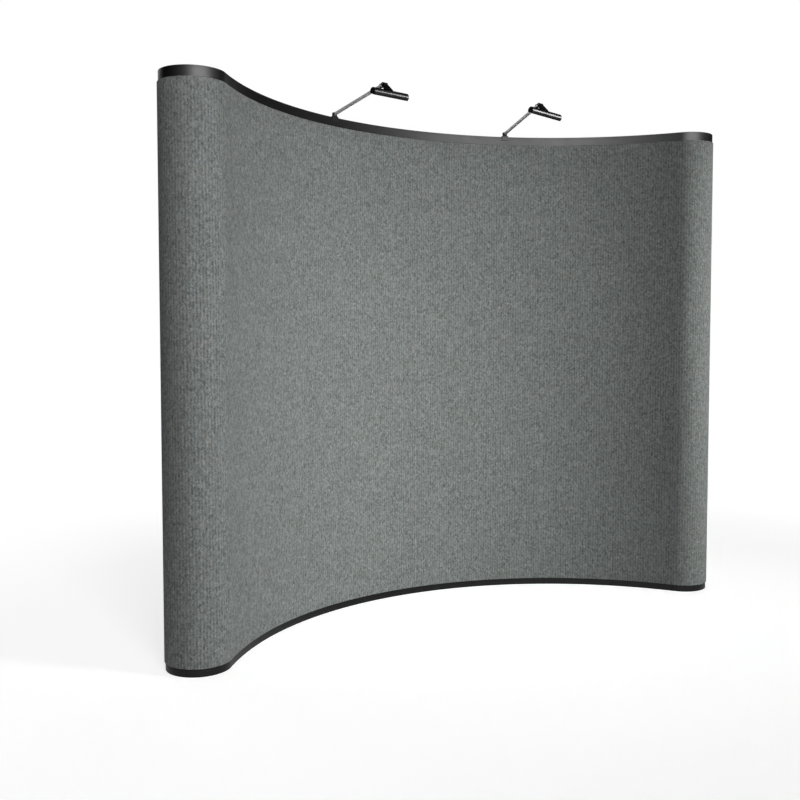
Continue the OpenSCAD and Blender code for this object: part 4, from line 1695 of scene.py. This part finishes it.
def open_ring(radius, count=40):
    """An arc round the head's own axis, open at the mouth."""
    s = lamp_sizes()
    half = s.mouth / 2
    return ring(radius, count, s.aim + half, s.aim + math.tau - half)


def trough_outline(outer, inner):
    """A round wall, open at the mouth."""
    return open_ring(outer) + open_ring(inner)[::-1]


def housing_part(side, axis):
    """The tubular housing with its end caps, one of them screwed on."""
    s = lamp_sizes()
    r, half = s.head_radius, s.head / 2
    shape = Shape().slab(trough_outline(r, r - HEAD_WALL), -half, half, at=axis, edge=0.3 * MM)
    for end in (-1, 1):
        low, high = sorted((end * half, end * (half - CAP)))
        shape.slab(open_ring(r, 44), low, high, at=axis, edge=0.5 * MM)
        if end < 0:
            screw = bolt_head(half - 0.3 * MM, 3 * MM, 0.3 * MM)
            shape.lathe(screw, 20, at=axis @ turn(math.pi, "X"))
    housing = lamp_piece(
        side, shape, "head_housing", lamp_black(), "head", "housing", "lamp_black"
    )
    heads_in_strip_light().objects.link(housing)


def light_parts(side, axis):
    """The reflector, the tube bulb with its end caps, and the front glass."""
    s = lamp_sizes()
    half = s.head / 2 - CAP - GAP
    outer = s.head_radius - HEAD_WALL
    inner = outer - 1 * MM
    liner = Shape().slab(trough_outline(outer - RUN_GAP, inner), -half, half, at=axis)
    alloy = reflector_alloy()
    lamp_piece(side, liner, "head_liner", alloy, "head", "reflector", "reflector_metal")
    lit = half - 10 * MM
    tube = Shape().lathe(pin_profile(-lit, lit, 4 * MM, 0.3 * MM), 24, at=axis)
    tube.lathe_both(pin_profile(half - 12 * MM, half, 6 * MM, 0.6 * MM), 28, axis)
    glass = clear_glass("Bulb glass", (0.95, 0.95, 0.92), rough=0.12)
    lamp_piece(side, tube, "head_bulb", glass, "head", "bulb", "bulb_glass")
    out = inner * math.cos(s.mouth / 2)
    wide = (inner - 0.3 * MM) * math.sin(s.mouth / 2)
    pane = rounded(rectangle(out - 2 * MM, -wide, out, wide), 0.4 * MM, 2)
    lens = Shape().slab(pane, -half, half, at=axis @ turn(s.aim, "Z"), edge=0.2 * MM)
    glass = clear_glass("Lamp glass", (0.93, 0.95, 0.95), rough=0.05)
    lamp_piece(side, lens, "head_lens", glass, "head", "glass", "lamp_glass")


def gland_part(side, axis):
    """The ribbed rubber gland at the housing's end."""
    start, bore = lamp_sizes().head / 2 + RUN_GAP, 2.2 * MM
    profile = [(bore, start + 1 * MM), (CORE, start + 1 * MM), (CORE, start)]
    profile += [(5.6 * MM, start), (6 * MM, start + 0.5 * MM), (6 * MM, start + 3.5 * MM)]
    profile += [(5.4 * MM, start + 4 * MM), (4 * MM, start + 4.2 * MM)]
    for k in range(3):
        z = start + (4.8 + 2.2 * k) * MM
        profile += [(4 * MM, z), (3.5 * MM, z + 0.5 * MM), (3.5 * MM, z + 1.1 * MM)]
        profile += [(4 * MM, z + 1.6 * MM)]
    profile += [(3.6 * MM, start + 12 * MM), (bore, start + 12 * MM)]
    gland = Shape().lathe(profile, 28, at=axis, capped=False)
    lamp_piece(side, gland, "head_gland", rubber_black(), "head", "gland", "foot_rubber")


class WALL_OT_lamps(Operator):
    """Builds both lamps, from the clamp on the rail to the head"""

    bl_idname = "display_wall.lamps"
    bl_label = "Lamps"

    def execute(self, context):
        for side in ("left", "right"):
            at = LampFrames(side)
            clamp_parts(side, at.clamp)
            turret_parts(side, at.turret)
            arm_parts(side, at.arm)
            knuckle_parts(side, at.knuckle)
            bracket_parts(side, at.head)
            axis = at.housing @ turn(math.pi / 2, "Y")
            housing_part(side, axis)
            light_parts(side, axis)
            gland_part(side, axis)
        return {"FINISHED"}


# --------------------------------------------------------------------- stage

# The camera, in metres and radians, and in pixels of an 800 pixel picture
EYE = (-2.3077, -3.9438, 1.2936)
PITCH, YAW = -0.0524, -0.5019
FOCAL = 975.18
SHIFT_X, SHIFT_Y = -9.98, -18.76
SENSOR = 36


def set_camera(image):
    """The camera, for a square picture of this many pixels."""
    camera = bpy.data.cameras.new("Camera")
    camera.sensor_width = SENSOR
    camera.lens = SENSOR * FOCAL / image
    camera.shift_x = SHIFT_X / image
    camera.shift_y = SHIFT_Y / image
    camera.clip_end = 60
    eye = placed("Camera", camera)
    eye.location = EYE
    eye.rotation_euler = (math.pi / 2 + PITCH, 0, YAW)
    bpy.context.scene.camera = eye


def seen_directly(tree):
    """1 on what the camera sees, straight, in gloss or through glass."""
    path = tree.nodes.new("ShaderNodeLightPath")
    both = maths(tree, "ADD", path.outputs["Is Camera Ray"], path.outputs["Is Glossy Ray"])
    return maths(tree, "ADD", both, path.outputs["Is Transmission Ray"], clamp=True)


def set_world(ambient):
    """A white backdrop whose light on the part is as strong as ambient."""
    world = bpy.data.worlds.new("Studio")
    world.use_nodes = True
    tree = world.node_tree
    back = tree.nodes["Background"]
    back.inputs["Color"].default_value = (1, 1, 1, 1)
    lifted = maths(tree, "MULTIPLY", seen_directly(tree), 1 - ambient)
    tree.links.new(maths(tree, "ADD", lifted, ambient), back.inputs["Strength"])
    bpy.context.scene.world = world


def lay_floor(colour):
    """A pale floor that fades to white away from the part."""
    half, fade_from, fade_to = 30, 1.9, 3.4
    mesh = bpy.data.meshes.new("Floor")
    corners = [(x, y, 0) for x, y in rectangle(-half, -half, half, half)]
    mesh.from_pydata(corners, [], [(0, 1, 2, 3)])
    floor = placed("Floor", mesh)
    material = bpy.data.materials.new("Pale floor")
    material.use_nodes = True
    tree = material.node_tree
    bsdf = tree.nodes["Principled BSDF"]
    where = own_place(tree)
    patch = spread(tree, noise(tree, where, 1.3, 3.0), 0.3, 0.7, 0.985, 1.0)
    reach = tree.nodes.new("ShaderNodeVectorMath")
    reach.operation = "LENGTH"
    tree.links.new(where, reach.inputs[0])
    far = spread(tree, reach.outputs["Value"], fade_from, fade_to)
    near = maths(tree, "MULTIPLY", patch, maths(tree, "SUBTRACT", 1.0, far))
    tree.links.new(shaded(tree, tuple(colour), near), bsdf.inputs["Base Color"])
    bsdf.inputs["Roughness"].default_value = 0.9
    bsdf.inputs["Specular IOR Level"].default_value = 0.05
    top_up = maths(tree, "ADD", maths(tree, "MULTIPLY", far, 0.3), 0.7)
    glow = maths(tree, "MULTIPLY", seen_directly(tree), top_up)
    lift = tree.nodes.new("ShaderNodeCombineColor")
    for k in range(3):
        tree.links.new(glow, lift.inputs[k])
    tree.links.new(lift.outputs[0], bsdf.inputs["Emission Color"])
    bsdf.inputs["Emission Strength"].default_value = 1.0
    mesh.materials.append(material)


def softbox(name, spot, target, size, energy, grid=math.pi, lit=True, mirrored=True):
    """A rectangular lamp that looks at its target, for matt light, gloss or both."""
    lamp = bpy.data.lights.new(name, "AREA")
    lamp.shape = "RECTANGLE"
    lamp.size, lamp.size_y = size
    lamp.energy = energy
    lamp.spread = grid
    thing = placed(name, lamp)
    thing.location = spot
    thing.rotation_euler = (Vector(target) - Vector(spot)).to_track_quat("-Z", "Y").to_euler()
    thing.visible_diffuse = lit
    thing.visible_glossy = mirrored
    return thing


def heads_in_strip_light():
    """The lamp heads, which alone show the tall strip lamp."""
    name = "Heads in strip light"
    return bpy.data.collections.get(name) or bpy.data.collections.new(name)


def dark_surround():
    """A black curved screen round the sides and back that only gloss shows."""
    radius, foot, top, steps = 6.5, 0.1, 14.0, 48
    path = ring(radius, steps + 1, math.radians(-22), math.radians(197))
    points = [(x, y, z) for x, y in path for z in (foot, top)]
    faces = [(2 * k, 2 * k + 2, 2 * k + 3, 2 * k + 1) for k in range(steps)]
    mesh = bpy.data.meshes.new("Dark surround")
    mesh.from_pydata(points, [], faces)
    material = bpy.data.materials.new("Black felt")
    material.use_nodes = True
    bsdf = material.node_tree.nodes["Principled BSDF"]
    bsdf.inputs["Base Color"].default_value = (0.002, 0.002, 0.002, 1)
    bsdf.inputs["Roughness"].default_value = 1.0
    bsdf.inputs["Specular IOR Level"].default_value = 0.0
    mesh.materials.append(material)
    screen = placed("Dark surround", mesh)
    screen.visible_camera = False
    screen.visible_diffuse = False
    screen.visible_transmission = False
    screen.visible_shadow = False


def set_lights(look):
    """Gridded lamps for matt light, softboxes that only gloss shows, and back lamps."""
    square, box, strip = (1.6, 1.6), (5.0, 2.2), (1.4, 1.9)
    key_grid, fill_grid = 0.63, 1.37
    key_at, key_to = (4.94, -6.0, 3.4), (0.25, 0, 0.83)
    fill_at, fill_to = (-1.7, -5.5, 3.2), (-1.6, -0.3, 1.6)
    softbox("Key", key_at, key_to, square, look.key, key_grid, mirrored=False)
    softbox("Fill", fill_at, fill_to, square, look.fill, fill_grid, mirrored=False)

    square_metre = look.shine * math.pi
    box_power = square_metre * (box[0] * box[1])
    strip_power = square_metre * 3.6  # a third brighter than the box
    softbox("Shine", (-0.4, -4.7, 3.2), (0, 0, 2.0), box, box_power, lit=False)
    heads = softbox("Head strip", (4.9, -3.1, 3.0), (0, -0.2, 2.4), strip, strip_power, lit=False)
    heads.light_linking.receiver_collection = heads_in_strip_light()

    back, back_to = (2.2, 2.2), (0, 0.2, 1.1)
    softbox("Back left", (-2.4, 4.2, 3.0), back_to, back, 38.0)
    softbox("Back right", (2.8, 4.0, 2.6), back_to, back, 32.0)


class WALL_OT_stage(Operator):
    """Builds the pale floor, the soft lights and the camera"""

    bl_idname = "display_wall.stage"
    bl_label = "Stage"

    def execute(self, context):
        look = stage_look()
        context.scene.view_settings.view_transform = "Standard"
        set_camera(look.image)
        set_world(look.ambient)
        lay_floor(look.floor)
        dark_surround()
        set_lights(look)
        return {"FINISHED"}


# -------------------------------------------------------------------- add-on


class WALL_PT_panel(Panel):
    """Sizes, finishes and pieces of the display wall"""

    bl_idname = "WALL_PT_panel"
    bl_label = "Display Wall"
    bl_space_type = "VIEW_3D"
    bl_region_type = "UI"
    bl_category = "Display Wall"

    def draw(self, context):
        layout = self.layout
        for group in GROUPS:
            box = layout.box()
            box.label(text=group.replace("display_", "").capitalize())
            values = getattr(context.scene, group)
            for name in values.__annotations__:
                box.prop(values, name)
        for step in STEPS:
            layout.operator(step.bl_idname)


GROUPS = {
    "display_wall": WallSizes,
    "display_frame": FrameSizes,
    "display_lamps": LampSizes,
    "display_finishes": Finishes,
    "display_stage": StageLook,
}
STEPS = (
    WALL_OT_stage,
    WALL_OT_front_panels,
    WALL_OT_end_panels,
    WALL_OT_rails,
    WALL_OT_bars,
    WALL_OT_hubs,
    WALL_OT_tubes,
    WALL_OT_pins,
    WALL_OT_posts,
    WALL_OT_lamps,
)
CLASSES = (*GROUPS.values(), *STEPS, WALL_PT_panel)


def register():
    for one in CLASSES:
        bpy.utils.register_class(one)
    for name, group in GROUPS.items():
        setattr(bpy.types.Scene, name, PointerProperty(type=group))


def unregister():
    for name in GROUPS:
        delattr(bpy.types.Scene, name)
    for one in reversed(CLASSES):
        bpy.utils.unregister_class(one)


def main():
    register()
    bpy.ops.display_wall.stage()
    bpy.ops.display_wall.front_panels()
    bpy.ops.display_wall.end_panels()
    bpy.ops.display_wall.rails()
    bpy.ops.display_wall.bars()
    bpy.ops.display_wall.hubs()
    bpy.ops.display_wall.tubes()
    bpy.ops.display_wall.pins()
    bpy.ops.display_wall.posts()
    bpy.ops.display_wall.lamps()


if __name__ == "__main__":
    main()
